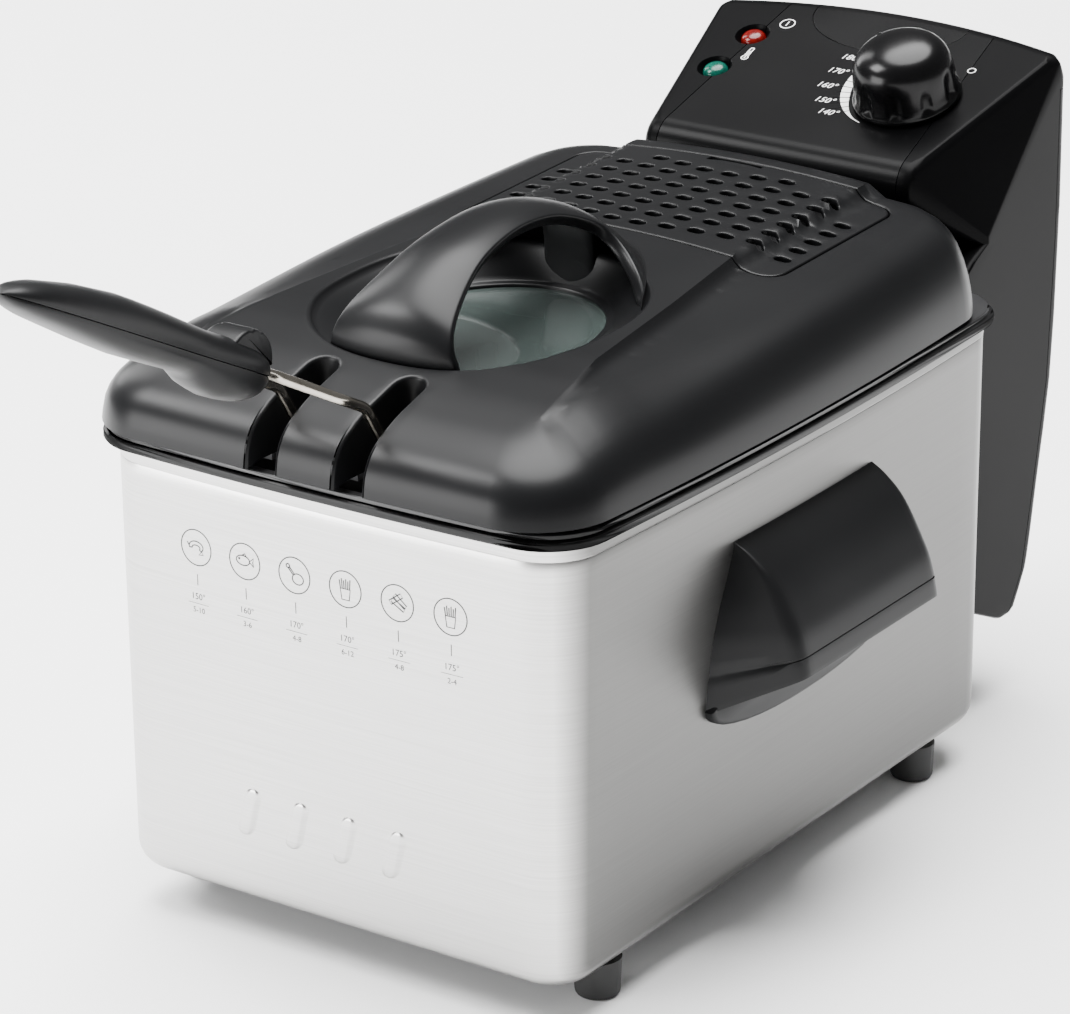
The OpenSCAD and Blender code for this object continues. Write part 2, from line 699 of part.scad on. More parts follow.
// Outline of the lid drawn in by i, less at the rear, where its edge is steep
function lid_outline(i) = [for (p = bowed(lid_a - i, lid_len / 2 - 0.65 * i, max(30 - i / 3, 8), 6.4,
    2)) [p.x, p.y + lid_mid + 0.35 * i]];

module lid_outer(g) {
    hull() {
        for (l = [[skirt_z - (g > 0 ? 1 : 0), g], [skirt_z + 9, g]]) translate([0, 0, l[0]])
            linear_extrude(slice) polygon(lid_outline(l[1]));
        for (l = [[220, 0.8], [228, 5], [233.5, 12], [237.5, 24], [239.5, 40]])
            translate([0, 0, l[0] - g]) rotate([lid_slope, 0, 0]) linear_extrude(slice)
                polygon(lid_outline(l[1] + g));
    }
    translate([0, 0, plateau_z - 9 - g]) rotate([plateau_slope, 0, 0]) linear_extrude(9)
        polygon(plateau_plan(g));
}

function plateau_plan(g) = [for (s = [1, -1], i = [0:5]) let (k = s > 0 ? i : 5 - i,
    p = [[74, -132], [72.5, -86], [66, -22], [58, 34], [57, 90], [56.5, 136]][k])
    [s * (p.x - g), p.y + (k == 0 ? g : k == 5 ? -g : 0)]];

module lid_solid() difference() {
    lid_outer(0);
    lid_outer(lid_t);
}

dish_y = -57;
dish_a = 61;
dish_b = 62;
window_a = 43;
window_b = 57;

module dish_column(g) translate([0, dish_y, 200]) linear_extrude(80)
    polygon(superellipse(dish_a + g, dish_b + g, 2.4, 48));

module window_disc(a, b, z, h) translate([0, dish_y, z]) linear_extrude(h)
    polygon(superellipse(a, b, 2, 48));

module handle_slots(w, z) for (sx = [-1, 1]) translate([sx * slot_x, 0, z]) {
    translate([-w / 2, -185, 0]) cube([w, 185 - 131.3, 80]);
    translate([0, -131.3, 0]) cylinder(h = 80, r = w / 2, $fn = 48);
}

module cover_column(g) translate([0, 81, 200]) linear_extrude(80) polygon(rounded(76 + g, 47 + g, 10));

lid_screw_at = [[94, -118], [98, 0], [94, 112]];

module lid_screw_places() mirrored() for (p = lid_screw_at) translate([p.x, p.y, 208]) children();

module lid_shell() color(black) difference() {
    union() {
        lid_solid();
        intersection() {
            lid_screw_places() translate([0, 0, 3.2]) cylinder(h = 40, r = 4, $fn = 32);
            lid_outer(1);
        }
        intersection() {
            lid_outer(1);
            difference() {
                handle_slots(slot_w + 4, skirt_z + 7);
                translate([-40, -190, 0]) cube([80, 24, 300]);
            }
        }
    }
    handle_slots(slot_w, skirt_z - 5);
    dish_column(0);
    cover_column(0.4);
    translate([-53, 122, 200]) cube([106, 40, 29]);
    lid_screw_places() cylinder(h = 14, r = 1.6, $fn = 32);
}

// Dish round the window, with the arched handle across it from front to rear
arch_top = 277;

module arch_side() translate([-70, 0, 0]) rotate([90, 0, 90]) linear_extrude(140) polygon(concat(
    [[-118, 232], [-118, 241.5]], [for (i = [0:12]) let (t = i / 12)
        [-118 + 140 * t, 241.5 + 6 * t + 33 * pow(sin(180 * pow(t, 1.15)), 0.85)]],
    [[22, 244.5], [4.5, 243]], [for (i = [11:-1:1]) let (t = i / 12)
        [-112 + 116 * t, 241 + 2 * t + 28 * pow(sin(180 * pow(t, 1.12)), 0.8)]],
    [[-112, 232]]));

module arch_plan() translate([0, 0, 228]) linear_extrude(60) polygon(concat(
    [[29.5, -118], [27, -110], [21, -95], [17, -78], [15, -56], [15, -38], [18, -12], [23, -2],
        [33, 10], [42, 22]],
    [[-42, 22], [-33, 10], [-23, -2], [-18, -12], [-15, -38], [-15, -56], [-17, -78], [-21, -95],
        [-27, -110], [-29.5, -118]]));

module lid_handle() color(black) union() {
    intersection() {
        arch_side();
        arch_plan();
        union() {
            dish_column(-0.2);
            translate([-60, -200, 247.6]) cube([120, 300, 60]);
        }
    }
    difference() {
        intersection() {
            dish_column(-0.2);
            translate([-80, dish_y - 80, 229.5 - 4]) rotate([plateau_slope, 0, 0]) cube([160, 160, 11.2]);
            translate([-80, dish_y - 80, 229.5]) cube([160, 160, 20]);
        }
        translate([0, 0, 32]) dish_column(-2.8);
        window_disc(window_a, window_b, 220, 30);
    }
}

module window_gasket() color(rubber) difference() {
    window_disc(window_a + 3, window_b + 3, 228.4, 1);
    window_disc(window_a, window_b, 225, 6);
}

module window_glass() color(smoke, 0.6) window_disc(window_a + 3, window_b + 3, 225.5, 2.8);

module lid_liner() color("#37373a") difference() {
    union() {
        translate([0, -4, skirt_z + 2]) linear_extrude(2) polygon(rounded(105, 147, 24));
        window_disc(window_a + 5.5, window_b + 5.5, skirt_z + 2, 22.2);
    }
    window_disc(window_a + 3.2, window_b + 3.2, 225.4, 20);
    window_disc(window_a, window_b, 200, 40);
    handle_slots(slot_w + 3, 200);
    translate([-53, 123, 200]) cube([106, 40, 29]);
    translate([-62, 44, 200]) cube([124, 74, 20]);
    lid_screw_places() translate([0, 0, -3]) cylinder(h = 8, r = screw_r + play, $fn = 32);
}

// Silicone seal under the liner, open at the rear where the element's feed crosses
module lid_seal() color("#5a5a5c") difference() {
    translate([0, -4, flange_top + play]) linear_extrude(4 - play) difference() {
        polygon(rounded(103.5, 149.5, 26));
        polygon(rounded(99, 145, 22));
    }
    handle_slots(slot_w + 3, 190);
    translate([-120, 136, 200]) cube([240, 20, 20]);
    lid_screw_places() translate([0, 0, -6]) cylinder(h = 10, r = 3.1, $fn = 32);
}

module filter_tray() color("#37373a") difference() {
    translate([-66, 39, skirt_z + 4.2]) cube([132, 83, 26]);
    translate([-64, 41, skirt_z + 6.2]) cube([128, 79, 40]);
    for (x = [-60:10:60], y = [44:9.5:112]) translate([x - 3, y, 200]) cube([6, 6, 20]);
}

module grease_filter() color("#b9b4a4") translate([-63.5, 41.5, skirt_z + 6.4]) cube([127, 78, 8]);

module charcoal_filter() color("#26272a") translate([-63.5, 41.5, skirt_z + 14.6]) cube([127, 78, 8]);

module lid_screws() color(zinc) lid_screw_places() translate([0, 0, 10]) mirror([0, 0, 1]) screw(11, 1.5);

// ---------------------------------------------------------------- filter cover

hole_x = 13.4;
hole_y = 11.6;

module vent_hole() {
    square([5, 4.4], center = true);
    for (s = [-1, 1]) translate([2.5 * s, 0]) circle(r = 2.2, $fn = 24);
}

module vent_holes() translate([0, 0, 200]) linear_extrude(80) {
    for (j = [0:6], i = [-4:4]) translate([i * hole_x, 46 + j * hole_y]) vent_hole();
    for (j = [0:5], i = [-4:3]) translate([(i + 0.5) * hole_x, 51.8 + j * hole_y]) vent_hole();
    for (j = [0:4], s = [-1, 1]) translate([s * 68.2, 49 + j * hole_y]) vent_hole();
}

module filter_cover() color(black) difference() {
    intersection() {
        difference() {
            lid_outer(0);
            lid_outer(2.2);
        }
        cover_column(0);
    }
    vent_holes();
    translate([-13.4, 122.5, 246]) cube([26.8, 10, 10]);
}

casing();
top_collar();
base_plate();
feet();
foot_screws();
side_handle_right();
side_handle_left();
handle_screws();
rear_rail();
rail_rivets();
oil_pan();
control_housing();
rear_cover();
control_panel();
panel_badge();
neck_cover();
element_bracket();
heating_element();
element_clips();
thermostat();
capillary_tube();
sensor_bulb();
thermal_cutout();
safety_switch();
terminal_block();
internal_wires();
lamp_holders();
red_lens();
green_lens();
cord_gland();
housing_screws();
knob();
knob_shaft();
reset_button();
basket_sides();
basket_ends();
basket_floor_grid();
basket_rim();
basket_base_frame();
handle_bracket();
handle_wires();
grip_upper();
grip_lower();
grip_screws();
thumb_button();
lid_shell();
lid_handle();
window_gasket();
window_glass();
lid_liner();
lid_seal();
filter_tray();
grease_filter();
charcoal_filter();
lid_screws();
filter_cover();
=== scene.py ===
"""Looks of the deep fryer. Lengths in the tables and functions are millimetres; mesh() turns them into metres."""
import json
from math import copysign, cos, hypot, pi, sin, sqrt
import bmesh
import bpy
from mathutils import Matrix, Vector
from mathutils.geometry import delaunay_2d_cdt


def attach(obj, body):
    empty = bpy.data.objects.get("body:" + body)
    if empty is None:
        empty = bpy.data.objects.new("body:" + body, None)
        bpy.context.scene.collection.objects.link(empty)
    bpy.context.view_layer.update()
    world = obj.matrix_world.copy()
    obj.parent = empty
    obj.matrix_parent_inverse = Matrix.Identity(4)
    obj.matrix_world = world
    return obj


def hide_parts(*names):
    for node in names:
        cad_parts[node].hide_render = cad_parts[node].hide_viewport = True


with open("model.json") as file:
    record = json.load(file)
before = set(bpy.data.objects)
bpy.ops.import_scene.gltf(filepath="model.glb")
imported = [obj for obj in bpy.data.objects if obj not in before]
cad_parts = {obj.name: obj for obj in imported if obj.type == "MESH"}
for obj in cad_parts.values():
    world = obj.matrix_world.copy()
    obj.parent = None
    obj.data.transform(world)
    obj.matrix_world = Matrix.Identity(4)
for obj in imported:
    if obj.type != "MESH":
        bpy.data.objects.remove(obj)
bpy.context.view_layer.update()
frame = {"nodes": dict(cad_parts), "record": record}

MM = 0.001
DEG = pi / 180
MERGE = 0.00001  # vertices closer than this, in metres, become one


def linked(name, data):
    """New object in the scene."""
    obj = bpy.data.objects.new(name, data)
    bpy.context.scene.collection.objects.link(obj)
    return obj


# --- camera

def make_camera():
    yaw, pitch, roll = 34.889 * DEG, 21.549 * DEG, -0.553 * DEG
    forward = Vector((-sin(yaw) * cos(pitch), cos(yaw) * cos(pitch), -sin(pitch)))
    right = Vector((cos(yaw), sin(yaw), 0))
    up = right.cross(forward)
    x = right * cos(roll) + up * sin(roll)
    y = up * cos(roll) - right * sin(roll)
    data = bpy.data.cameras.new("camera")
    data.lens, data.sensor_width = 155.7, 36
    place_of_camera = (0.97646, -1.42217, 0.82101)
    data.clip_start, data.clip_end = 0.05, 50
    cam = linked("camera", data)
    cam.matrix_world = Matrix([(x[i], y[i], -forward[i], place_of_camera[i]) for i in range(3)] + [(0, 0, 0, 1)])
    bpy.context.scene.camera = cam


make_camera()


# --- materials

def nodes_of(name):
    m = bpy.data.materials.new(name)
    m.use_nodes = True
    t = m.node_tree
    return m, t, t.nodes["Principled BSDF"]


def put(node, **values):
    """Set a node's inputs; an underscore stands for a space."""
    for key, value in values.items():
        node.inputs[key.replace("_", " ")].default_value = value


def noise(t, scale, stretch=(1, 1, 1), detail=3, rough=0.6):
    coord = t.nodes.new("ShaderNodeTexCoord")
    mapping = t.nodes.new("ShaderNodeMapping")
    put(mapping, Scale=stretch)
    tex = t.nodes.new("ShaderNodeTexNoise")
    put(tex, Scale=scale, Detail=detail, Roughness=rough)
    t.links.new(coord.outputs["Object"], mapping.inputs["Vector"])
    t.links.new(mapping.outputs["Vector"], tex.inputs["Vector"])
    return tex.outputs["Fac"]


def spread(t, fac, low, high, lo_in=0.3, hi_in=0.7):
    r = t.nodes.new("ShaderNodeMapRange")
    put(r, From_Min=lo_in, From_Max=hi_in, To_Min=low, To_Max=high)
    t.links.new(fac, r.inputs["Value"])
    return r.outputs["Result"]


def tint(t, fac, a, b):
    r = t.nodes.new("ShaderNodeValToRGB")
    for stop, colour, place in zip(r.color_ramp.elements, (a, b), (0.3, 0.7)):
        stop.color, stop.position = (*colour, 1), place
    t.links.new(fac, r.inputs["Fac"])
    return r.outputs["Color"]


def bump(t, bsdf, fac, strength, distance):
    b = t.nodes.new("ShaderNodeBump")
    put(b, Strength=strength, Distance=distance)
    t.links.new(fac, b.inputs["Height"])
    t.links.new(b.outputs["Normal"], bsdf.inputs["Normal"])


def plastic(name, dark, light, rough, grain=0.06, grain_scale=1400, specular=0.5):
    """Moulded plastic: broad unevenness of gloss and a fine grain."""
    m, t, b = nodes_of(name)
    broad = noise(t, 9, detail=2)
    fine = noise(t, grain_scale, detail=2)
    t.links.new(tint(t, broad, dark, light), b.inputs["Base Color"])
    t.links.new(spread(t, broad, rough - 0.03, rough + 0.03), b.inputs["Roughness"])
    put(b, Specular_IOR_Level=specular)
    bump(t, b, fine, grain, 0.00004)
    return m


def metal(name, dark, light, rough, stretch, scale=1, strength=0.12, anisotropy=0.0, distance=0.00002, side=None):
    """Metal with brush marks, streaked along the axes where stretch is small; when side is given, painted shade darkens
    the flanks.
    """
    m, t, b = nodes_of(name)
    streak = noise(t, scale, stretch, detail=4, rough=0.7)
    cloud = noise(t, 6, detail=2)
    colour = tint(t, streak, dark, light)
    if side:  # painted shade: the base colour turns to the darker side colour as the surface faces along x, so the flanks look darker than the front
        coord = t.nodes.new("ShaderNodeTexCoord")
        split = t.nodes.new("ShaderNodeSeparateXYZ")
        size = t.nodes.new("ShaderNodeMath")
        size.operation = "ABSOLUTE"
        blend = t.nodes.new("ShaderNodeMix")
        blend.data_type = "RGBA"
        t.links.new(coord.outputs["Normal"], split.inputs["Vector"])
        t.links.new(split.outputs["X"], size.inputs[0])
        t.links.new(spread(t, size.outputs["Value"], 0, 1, 0.62, 0.97), blend.inputs["Factor"])
        t.links.new(colour, blend.inputs["A"])
        t.links.new(tint(t, streak, tuple(c * 0.88 for c in side), side), blend.inputs["B"])
        colour = blend.outputs["Result"]
    t.links.new(colour, b.inputs["Base Color"])
    t.links.new(spread(t, cloud, rough - 0.03, rough + 0.04), b.inputs["Roughness"])
    put(b, Metallic=1)
    if anisotropy:
        put(b, Anisotropic=anisotropy)
        tangent = t.nodes.new("ShaderNodeTangent")
        tangent.direction_type, tangent.axis = "RADIAL", "Z"
        t.links.new(tangent.outputs["Tangent"], b.inputs["Tangent"])
    bump(t, b, streak, strength, distance)
    return m


def mat_fibre(name, dark, light):
    m, t, b = nodes_of(name)
    f = noise(t, 500, detail=6, rough=0.8)
    t.links.new(tint(t, f, dark, light), b.inputs["Base Color"])
    put(b, Roughness=0.95)
    bump(t, b, f, 0.8, 0.0006)
    return m


def mat_glass():
    m, t, b = nodes_of("window_glass")
    f = noise(t, 30, detail=1)
    t.links.new(tint(t, f, (0.26, 0.33, 0.31), (0.3, 0.37, 0.35)), b.inputs["Base Color"])
    put(b, Roughness=0.02, Transmission_Weight=0.9, IOR=1.5)
    return m


def mat_lens(name, deep, light):
    m, t, b = nodes_of(name)
    f = noise(t, 700, detail=1)
    t.links.new(tint(t, f, deep, light), b.inputs["Base Color"])
    put(b, Roughness=0.2, Specular_IOR_Level=0.25, Emission_Color=(*light, 1), Emission_Strength=0.15)
    return m


def mat_ink(name, colour):
    m, t, b = nodes_of(name)
    f = noise(t, 1500, detail=2)
    t.links.new(tint(t, f, tuple(c * 0.85 for c in colour), colour), b.inputs["Base Color"])
    put(b, Roughness=0.6)
    return m


LID_BLACK = plastic("lid_black", (0.0032, 0.0033, 0.0037), (0.0045, 0.0046, 0.005), 0.34, specular=0.15)
HOUSING_BLACK = plastic("housing_black", (0.0016, 0.0016, 0.0018), (0.0022, 0.0022, 0.0024), 0.34, specular=0.03)
PANEL_BLACK = plastic("panel_black", (0.0014, 0.0014, 0.0016), (0.002, 0.002, 0.0022), 0.3, specular=0.05)
HANDLE_BLACK = plastic("handle_black", (0.004, 0.0041, 0.0045), (0.0058, 0.0059, 0.0064), 0.42, 0.12, 1100, 0.18)
TRIM_BLACK = plastic("trim_black", (0.004, 0.004, 0.0042), (0.006, 0.006, 0.0063), 0.42, specular=0.2)
GLOSS_BLACK = plastic("gloss_black", (0.0018, 0.0018, 0.002), (0.0024, 0.0024, 0.0026), 0.21, 0.02, specular=0.16)
BADGE_BLACK = plastic("badge_black", (0.0018, 0.0018, 0.002), (0.0024, 0.0024, 0.0026), 0.22, 0.02, specular=0.12)
INNER_GREY = plastic("inner_grey", (0.03, 0.03, 0.032), (0.045, 0.045, 0.047), 0.55, 0.15, 700)
RUBBER = plastic("rubber", (0.012, 0.012, 0.012), (0.02, 0.02, 0.02), 0.62, 0.3, 900, 0.4)
SILICONE = plastic("silicone", (0.1, 0.1, 0.105), (0.14, 0.14, 0.145), 0.5, 0.1, 600)
CERAMIC = plastic("ceramic", (0.6, 0.57, 0.5), (0.7, 0.67, 0.6), 0.3, 0.05, 500)
WIRE_COVER = plastic("wire_cover", (0.28, 0.03, 0.02), (0.36, 0.05, 0.03), 0.45)
COATING = plastic("pan_coating", (0.012, 0.012, 0.013), (0.022, 0.022, 0.023), 0.36, 0.35, 700)
# the side colour is painted shade that makes the casing's flanks darker than its front
STEEL = metal("brushed_steel", (0.50, 0.495, 0.485), (0.62, 0.615, 0.605), 0.32, (14, 14, 1800), 1, 0.22, 0.5,
              side=(0.125, 0.124, 0.121))
PLAIN_STEEL = metal("plain_steel", (0.42, 0.42, 0.41), (0.55, 0.55, 0.54), 0.34, (60, 60, 60), 1, 0.1)
CHROME = metal("plated_wire", (0.36, 0.33, 0.28), (0.5, 0.47, 0.42), 0.2, (90, 90, 90), 1, 0.05)
HEATER = metal("heater", (0.16, 0.14, 0.13), (0.3, 0.27, 0.25), 0.42, (40, 40, 40), 1, 0.1)
COPPER = metal("copper", (0.5, 0.25, 0.13), (0.62, 0.33, 0.18), 0.3, (60, 60, 60), 1, 0.1)
GREASE_MAT = mat_fibre("grease_mat", (0.45, 0.42, 0.36), (0.7, 0.67, 0.6))
CHARCOAL_MAT = mat_fibre("charcoal_mat", (0.008, 0.008, 0.009), (0.03, 0.03, 0.032))
GLASS = mat_glass()
RED = mat_lens("red_lens", (0.06, 0.001, 0.001), (0.12, 0.003, 0.002))
GREEN = mat_lens("green_lens", (0.0, 0.035, 0.024), (0.001, 0.075, 0.05))
DARK_INK = mat_ink("dark_ink", (0.008, 0.008, 0.009))
WHITE_INK = mat_ink("white_ink", (0.7, 0.7, 0.69))

SLOT_LOOK = {
    "black_plastic": TRIM_BLACK, "gloss_plastic": GLOSS_BLACK, "inner_plastic": INNER_GREY,
    "brushed_steel": STEEL, "pan_coating": COATING, "plated_wire": CHROME, "plain_steel": PLAIN_STEEL,
    "heater": HEATER, "copper": COPPER, "rubber": RUBBER, "silicone": SILICONE, "glass": GLASS,
    "red_lens": RED, "green_lens": GREEN, "ceramic": CERAMIC, "wire_cover": WIRE_COVER,
    "grease_mat": GREASE_MAT, "charcoal_mat": CHARCOAL_MAT}


def dress_cad_nodes():
    slot_of = {s["node"]: s["material_slot"] for s in frame["record"]["subparts"]}
    for name, obj in frame["nodes"].items():
        look = SLOT_LOOK[slot_of[name]]
        obj.data.materials.clear()
        obj.data.materials.append(look)


dress_cad_nodes()


# --- mesh helpers

def interp(table, v):
    """Straight-line interpolation in a list of (key, value)."""
    if v <= table[0][0]:
        return table[0][1]
    for (a, fa), (b, fb) in zip(table, table[1:]):
        if v <= b:
            return fa + (fb - fa) * (v - a) / (b - a)
    return table[-1][1]


def smooth(t):
    t = min(1.0, max(0.0, t))
    return t * t * (3 - 2 * t)


def spline(points, n):
    """Catmull-Rom curve through points, n steps for each span."""
    pts = [Vector(p) for p in points]
    out = []
    last = len(pts) - 1
    for i in range(last):
        p0 = pts[i - 1] if i else 2 * pts[0] - pts[1]
        p1, p2 = pts[i], pts[i + 1]
        p3 = pts[i + 2] if i + 2 <= last else 2 * pts[last] - pts[last - 1]
        for k in range(n):
            t = k / n
            out.append(0.5 * ((2 * p1) + (p2 - p0) * t + (2 * p0 - 5 * p1 + 4 * p2 - p3) * t * t
                              + (3 * p1 - p0 - 3 * p2 + p3) * t ** 3))
    return out + [pts[last]]


def solid(name, verts, faces, merge=True):
    """Object from millimetre points, its faces turned outwards."""
    data = bpy.data.meshes.new(name)
    data.from_pydata([tuple(c * MM for c in v) for v in verts], [], faces)
    bm = bmesh.new()
    bm.from_mesh(data)
    if merge:
        bmesh.ops.remove_doubles(bm, verts=bm.verts, dist=MERGE)
    bmesh.ops.recalc_face_normals(bm, faces=bm.faces)
    bm.to_mesh(data)
    bm.free()
    return linked(name, data)


def mesh(name, shape, look, body, slot, replaced=(), smooth_angle=35.0, merge=True):
    obj = solid(name, *shape, merge=merge)
    obj.data.materials.append(look)
    bm = bmesh.new()
    bm.from_mesh(obj.data)
    sharpen(bm, smooth_angle)
    bm.to_mesh(obj.data)
    bm.free()
    place(obj, body, slot, replaced)
    return obj


def sharpen(bm, angle):
    limit = angle * DEG
    for f in bm.faces:
        f.smooth = True
    for e in bm.edges:
        e.smooth = not (len(e.link_faces) == 2 and e.calc_face_angle(0) > limit)


def place(obj, body, slot, replaced=()):
    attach(obj, body)
    if replaced:
        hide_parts(*replaced)


def loft(rings, closed=True, cap_start=False, cap_end=False):
    """Faces between rings of equal length, as (verts, faces)."""
    n = len(rings[0])
    verts = [tuple(p) for ring in rings for p in ring]
    faces = []
    for i in range(len(rings) - 1):
        for k in range(n if closed else n - 1):
            a, b = i * n + k, i * n + (k + 1) % n
            faces.append((a, b, b + n, a + n))
    if cap_start:
        faces.append(tuple(range(n - 1, -1, -1)))
    if cap_end:
        base = (len(rings) - 1) * n
        faces.append(tuple(base + k for k in range(n)))
    return verts, faces


def join(*parts):
    verts, faces = [], []
    for v, f in parts:
        base = len(verts)
        verts += v
        faces += [tuple(i + base for i in face) for face in f]
    return verts, faces


def tube(points, r, sides=12, closed=False):
    """Round bar along points with a frame carried along it."""
    pts = [Vector(p) for p in points]
    n = len(pts)
    tangents = [(pts[(i + 1) % n] - pts[i - 1]).normalized() if closed or 0 < i < n - 1 else
                ((pts[1] - pts[0]) if i == 0 else (pts[-1] - pts[-2])).normalized() for i in range(n)]
    seed = Vector((0, 0, 1)) if abs(tangents[0].z) < 0.9 else Vector((1, 0, 0))
    side = (seed - tangents[0] * seed.dot(tangents[0])).normalized()
    rings = []
    for p, t in zip(pts, tangents):
        side = (side - t * side.dot(t)).normalized()
        other = t.cross(side)
        rings.append([p + r * (cos(a) * side + sin(a) * other)
                      for a in (2 * pi * k / sides for k in range(sides))])
    if closed:
        return loft(rings + [rings[0]])
    return loft(rings, cap_start=True, cap_end=True)


def eased(points, t, steps=5):
    pts = [Vector(p) for p in points]
    out = [pts[0]]
    for a, p, b in zip(pts, pts[1:], pts[2:]):
        q0, q1 = p + (a - p).normalized() * t, p + (b - p).normalized() * t
        out += [(1 - s) ** 2 * q0 + 2 * s * (1 - s) * p + s * s * q1 for s in (k / steps for k in range(steps + 1))]
    return out + [pts[-1]]


def lathe(profile, frame_of, steps=64, radius=lambda r, z, a: r):
    """Surface of revolution: profile is (r, height); frame_of maps local x, y, height to the frame."""
    rings = [[frame_of(radius(r, z, a) * cos(a), radius(r, z, a) * sin(a), z)
              for a in (2 * pi * k / steps for k in range(steps))] for r, z in profile]
    return loft(rings, cap_start=profile[0][0] < 0.01, cap_end=profile[-1][0] < 0.01)


def rounded(a, b, r, xs=(), corner=10, ny=20):
    """Rounded rectangle, anticlockwise from the right end of its front. xs are the places along front and rear."""
    out = []

    def arc(cx, cy, start):
        for i in range(corner + 1):
            t = (start + 90 * i / corner) * DEG
            out.append((cx + r * cos(t), cy + r * sin(t)))

    x, y = a - r, b - r
    ys = [-y + 2 * y * k / ny for k in range(1, ny)]
    inner = sorted(v for v in xs if abs(v) < x - 0.5)
    arc(x, -y, -90)
    out += [(a, v) for v in ys]
    arc(x, y, 0)
    out += [(v, b) for v in reversed(inner)]
    arc(-x, y, 90)
    out += [(-a, v) for v in reversed(ys)]
    arc(-x, -y, 180)
    out += [(v, -b) for v in inner]
    return out


def bowed(a, b, r, bx, by, xs=(), corner=10, ny=20):
    return [(x + copysign(bx * (1 - (y / b) ** 2), x) if abs(x) > 1e-6 else x,
             y - (by * (1 - (x / a) ** 2) if y < 0 else 0)) for x, y in rounded(a, b, r, xs, corner, ny)]


def superellipse(a, b, power, n, cy=0.0):
    out = []
    for k in range(n):
        t = 2 * pi * k / n
        c, s = cos(t), sin(t)
        out.append((a * copysign(abs(c) ** (2 / power), c), cy + b * copysign(abs(s) ** (2 / power), s)))
    return out


def inside(p, poly):
    hit = False
    x, y = p
    for (x1, y1), (x2, y2) in zip(poly, poly[1:] + poly[:1]):
        if (y1 > y) != (y2 > y) and x < (x2 - x1) * (y - y1) / (y2 - y1) + x1:
            hit = not hit
    return hit


def offset_loop(loop, d):
    """Closed loop moved outwards by d along its own normals (anticlockwise loop)."""
    out = []
    n = len(loop)
    for i in range(n):
        a, b = Vector(loop[i - 1]), Vector(loop[(i + 1) % n])
        t = (b - a).normalized()
        out.append((loop[i][0] + t.y * d, loop[i][1] - t.x * d))
    return out


def paving(outer, holes, lines, spacing, box):
    """Triangles that fill a plan outline, with holes left out and lines kept as edges."""
    verts, edges = [], []

    def add(loop, closed):
        base = len(verts)
        verts.extend(Vector(p) for p in loop)
        m = len(loop)
        edges.extend((base + i, base + (i + 1) % m) for i in range(m if closed else m - 1))

    add(outer, True)
    for h in holes:
        add(h, True)
    for line in lines:
        add(line, False)
    x0, y0, x1, y1 = box
    m = spacing * 0.5
    bounds_of = [(min(p[0] for p in h) - m, min(p[1] for p in h) - m, max(p[0] for p in h) + m,
                  max(p[1] for p in h) + m, h) for h in holes]

    def covered(x, y):
        """In the outline, and in no hole."""
        return inside((x, y), outer) and not any(
            bx0 < x < bx1 and by0 < y < by1 and inside((x, y), h) for bx0, by0, bx1, by1, h in bounds_of)

    nx, ny = int((x1 - x0) / spacing), int((y1 - y0) / spacing)
    taken = {}
    cell = spacing * 0.55
    for v in verts:
        taken.setdefault((int(v.x // cell), int(v.y // cell)), []).append(v)
    for i in range(nx + 1):
        for j in range(ny + 1):
            p = (x0 + (i + 0.5 * (j % 2)) * spacing, y0 + j * spacing)
            if not covered(*p):
                continue
            key = (int(p[0] // cell), int(p[1] // cell))
            near = any((q.x - p[0]) ** 2 + (q.y - p[1]) ** 2 < cell * cell
                       for dx in (-1, 0, 1) for dy in (-1, 0, 1) for q in taken.get((key[0] + dx, key[1] + dy), ()))
            if not near:
                verts.append(Vector(p))
    out_v, _, out_f, _, _, _ = delaunay_2d_cdt(verts, edges, [], 0, 1e-5)
    keep = []
    for f in out_f:
        c = sum((out_v[i] for i in f), Vector((0, 0))) / len(f)
        if covered(c.x, c.y):
            keep.append(tuple(f))
    return out_v, keep


def lifted(paved, height):
    v, f = paved
    return [(p.x, p.y, height(p.x, p.y)) for p in v], f


def apply_modifier(obj, kind, **values):
    mod = obj.modifiers.new(kind.lower(), kind)
    for k, v in values.items():
        setattr(mod, k, v)


# --- casing

HALF_W, HALF_D = 107.5, 158.5
SIDE_BOW, FRONT_BOW = 5.4, 3.5
WALL_XS = [-80 + 10 * k for k in range(17)]


def wall_share(z):
    return min(1.0, max(0.0, (z - 27) / 170))


def casing_ring(z, inset):
    f = wall_share(z)
    plan = bowed(HALF_W - inset, HALF_D - inset, max(20 - inset, 3), SIDE_BOW * f, FRONT_BOW * f, WALL_XS)
    return [(x, y, z) for x, y in plan]


def front_y(x, z, lift=0.0):
    return -(HALF_D + FRONT_BOW * wall_share(z) * (1 - (x / HALF_W) ** 2)) - lift


def side_x(y, z):
    return HALF_W + SIDE_BOW * wall_share(z) * (1 - (y / HALF_D) ** 2)


def make_casing():
    levels = [(17, 12), (16, 12)]
    levels += [(27 - 11 * cos(t), 11 - 11 * sin(t)) for t in (k * 15 * DEG for k in range(7))]
    levels += [(z, 0) for z in (45, 70, 95, 120, 145, 170, 185, 190.4)]
    levels += [(190.6, 0.12), (190.9, -0.05), (191.4, -0.22), (195.6, -0.22), (196.5, -0.05), (196.9, 0.3),
               (196.9, 0.9), (190, 1.0), (60, 1.0), (20, 6)]
    mesh("casing_skin", loft([casing_ring(*level) for level in levels]), STEEL, "casing_body", "brushed_steel",
         ["casing"], 40)


make_casing()


def mouth_ring(z, out):
    """Ring round the casing's mouth, out from its wall."""
    pts = bowed(HALF_W + out, HALF_D + out - 1.3, 23, SIDE_BOW, FRONT_BOW, WALL_XS)
    return [(x, y - 1.8, z) for x, y in pts]


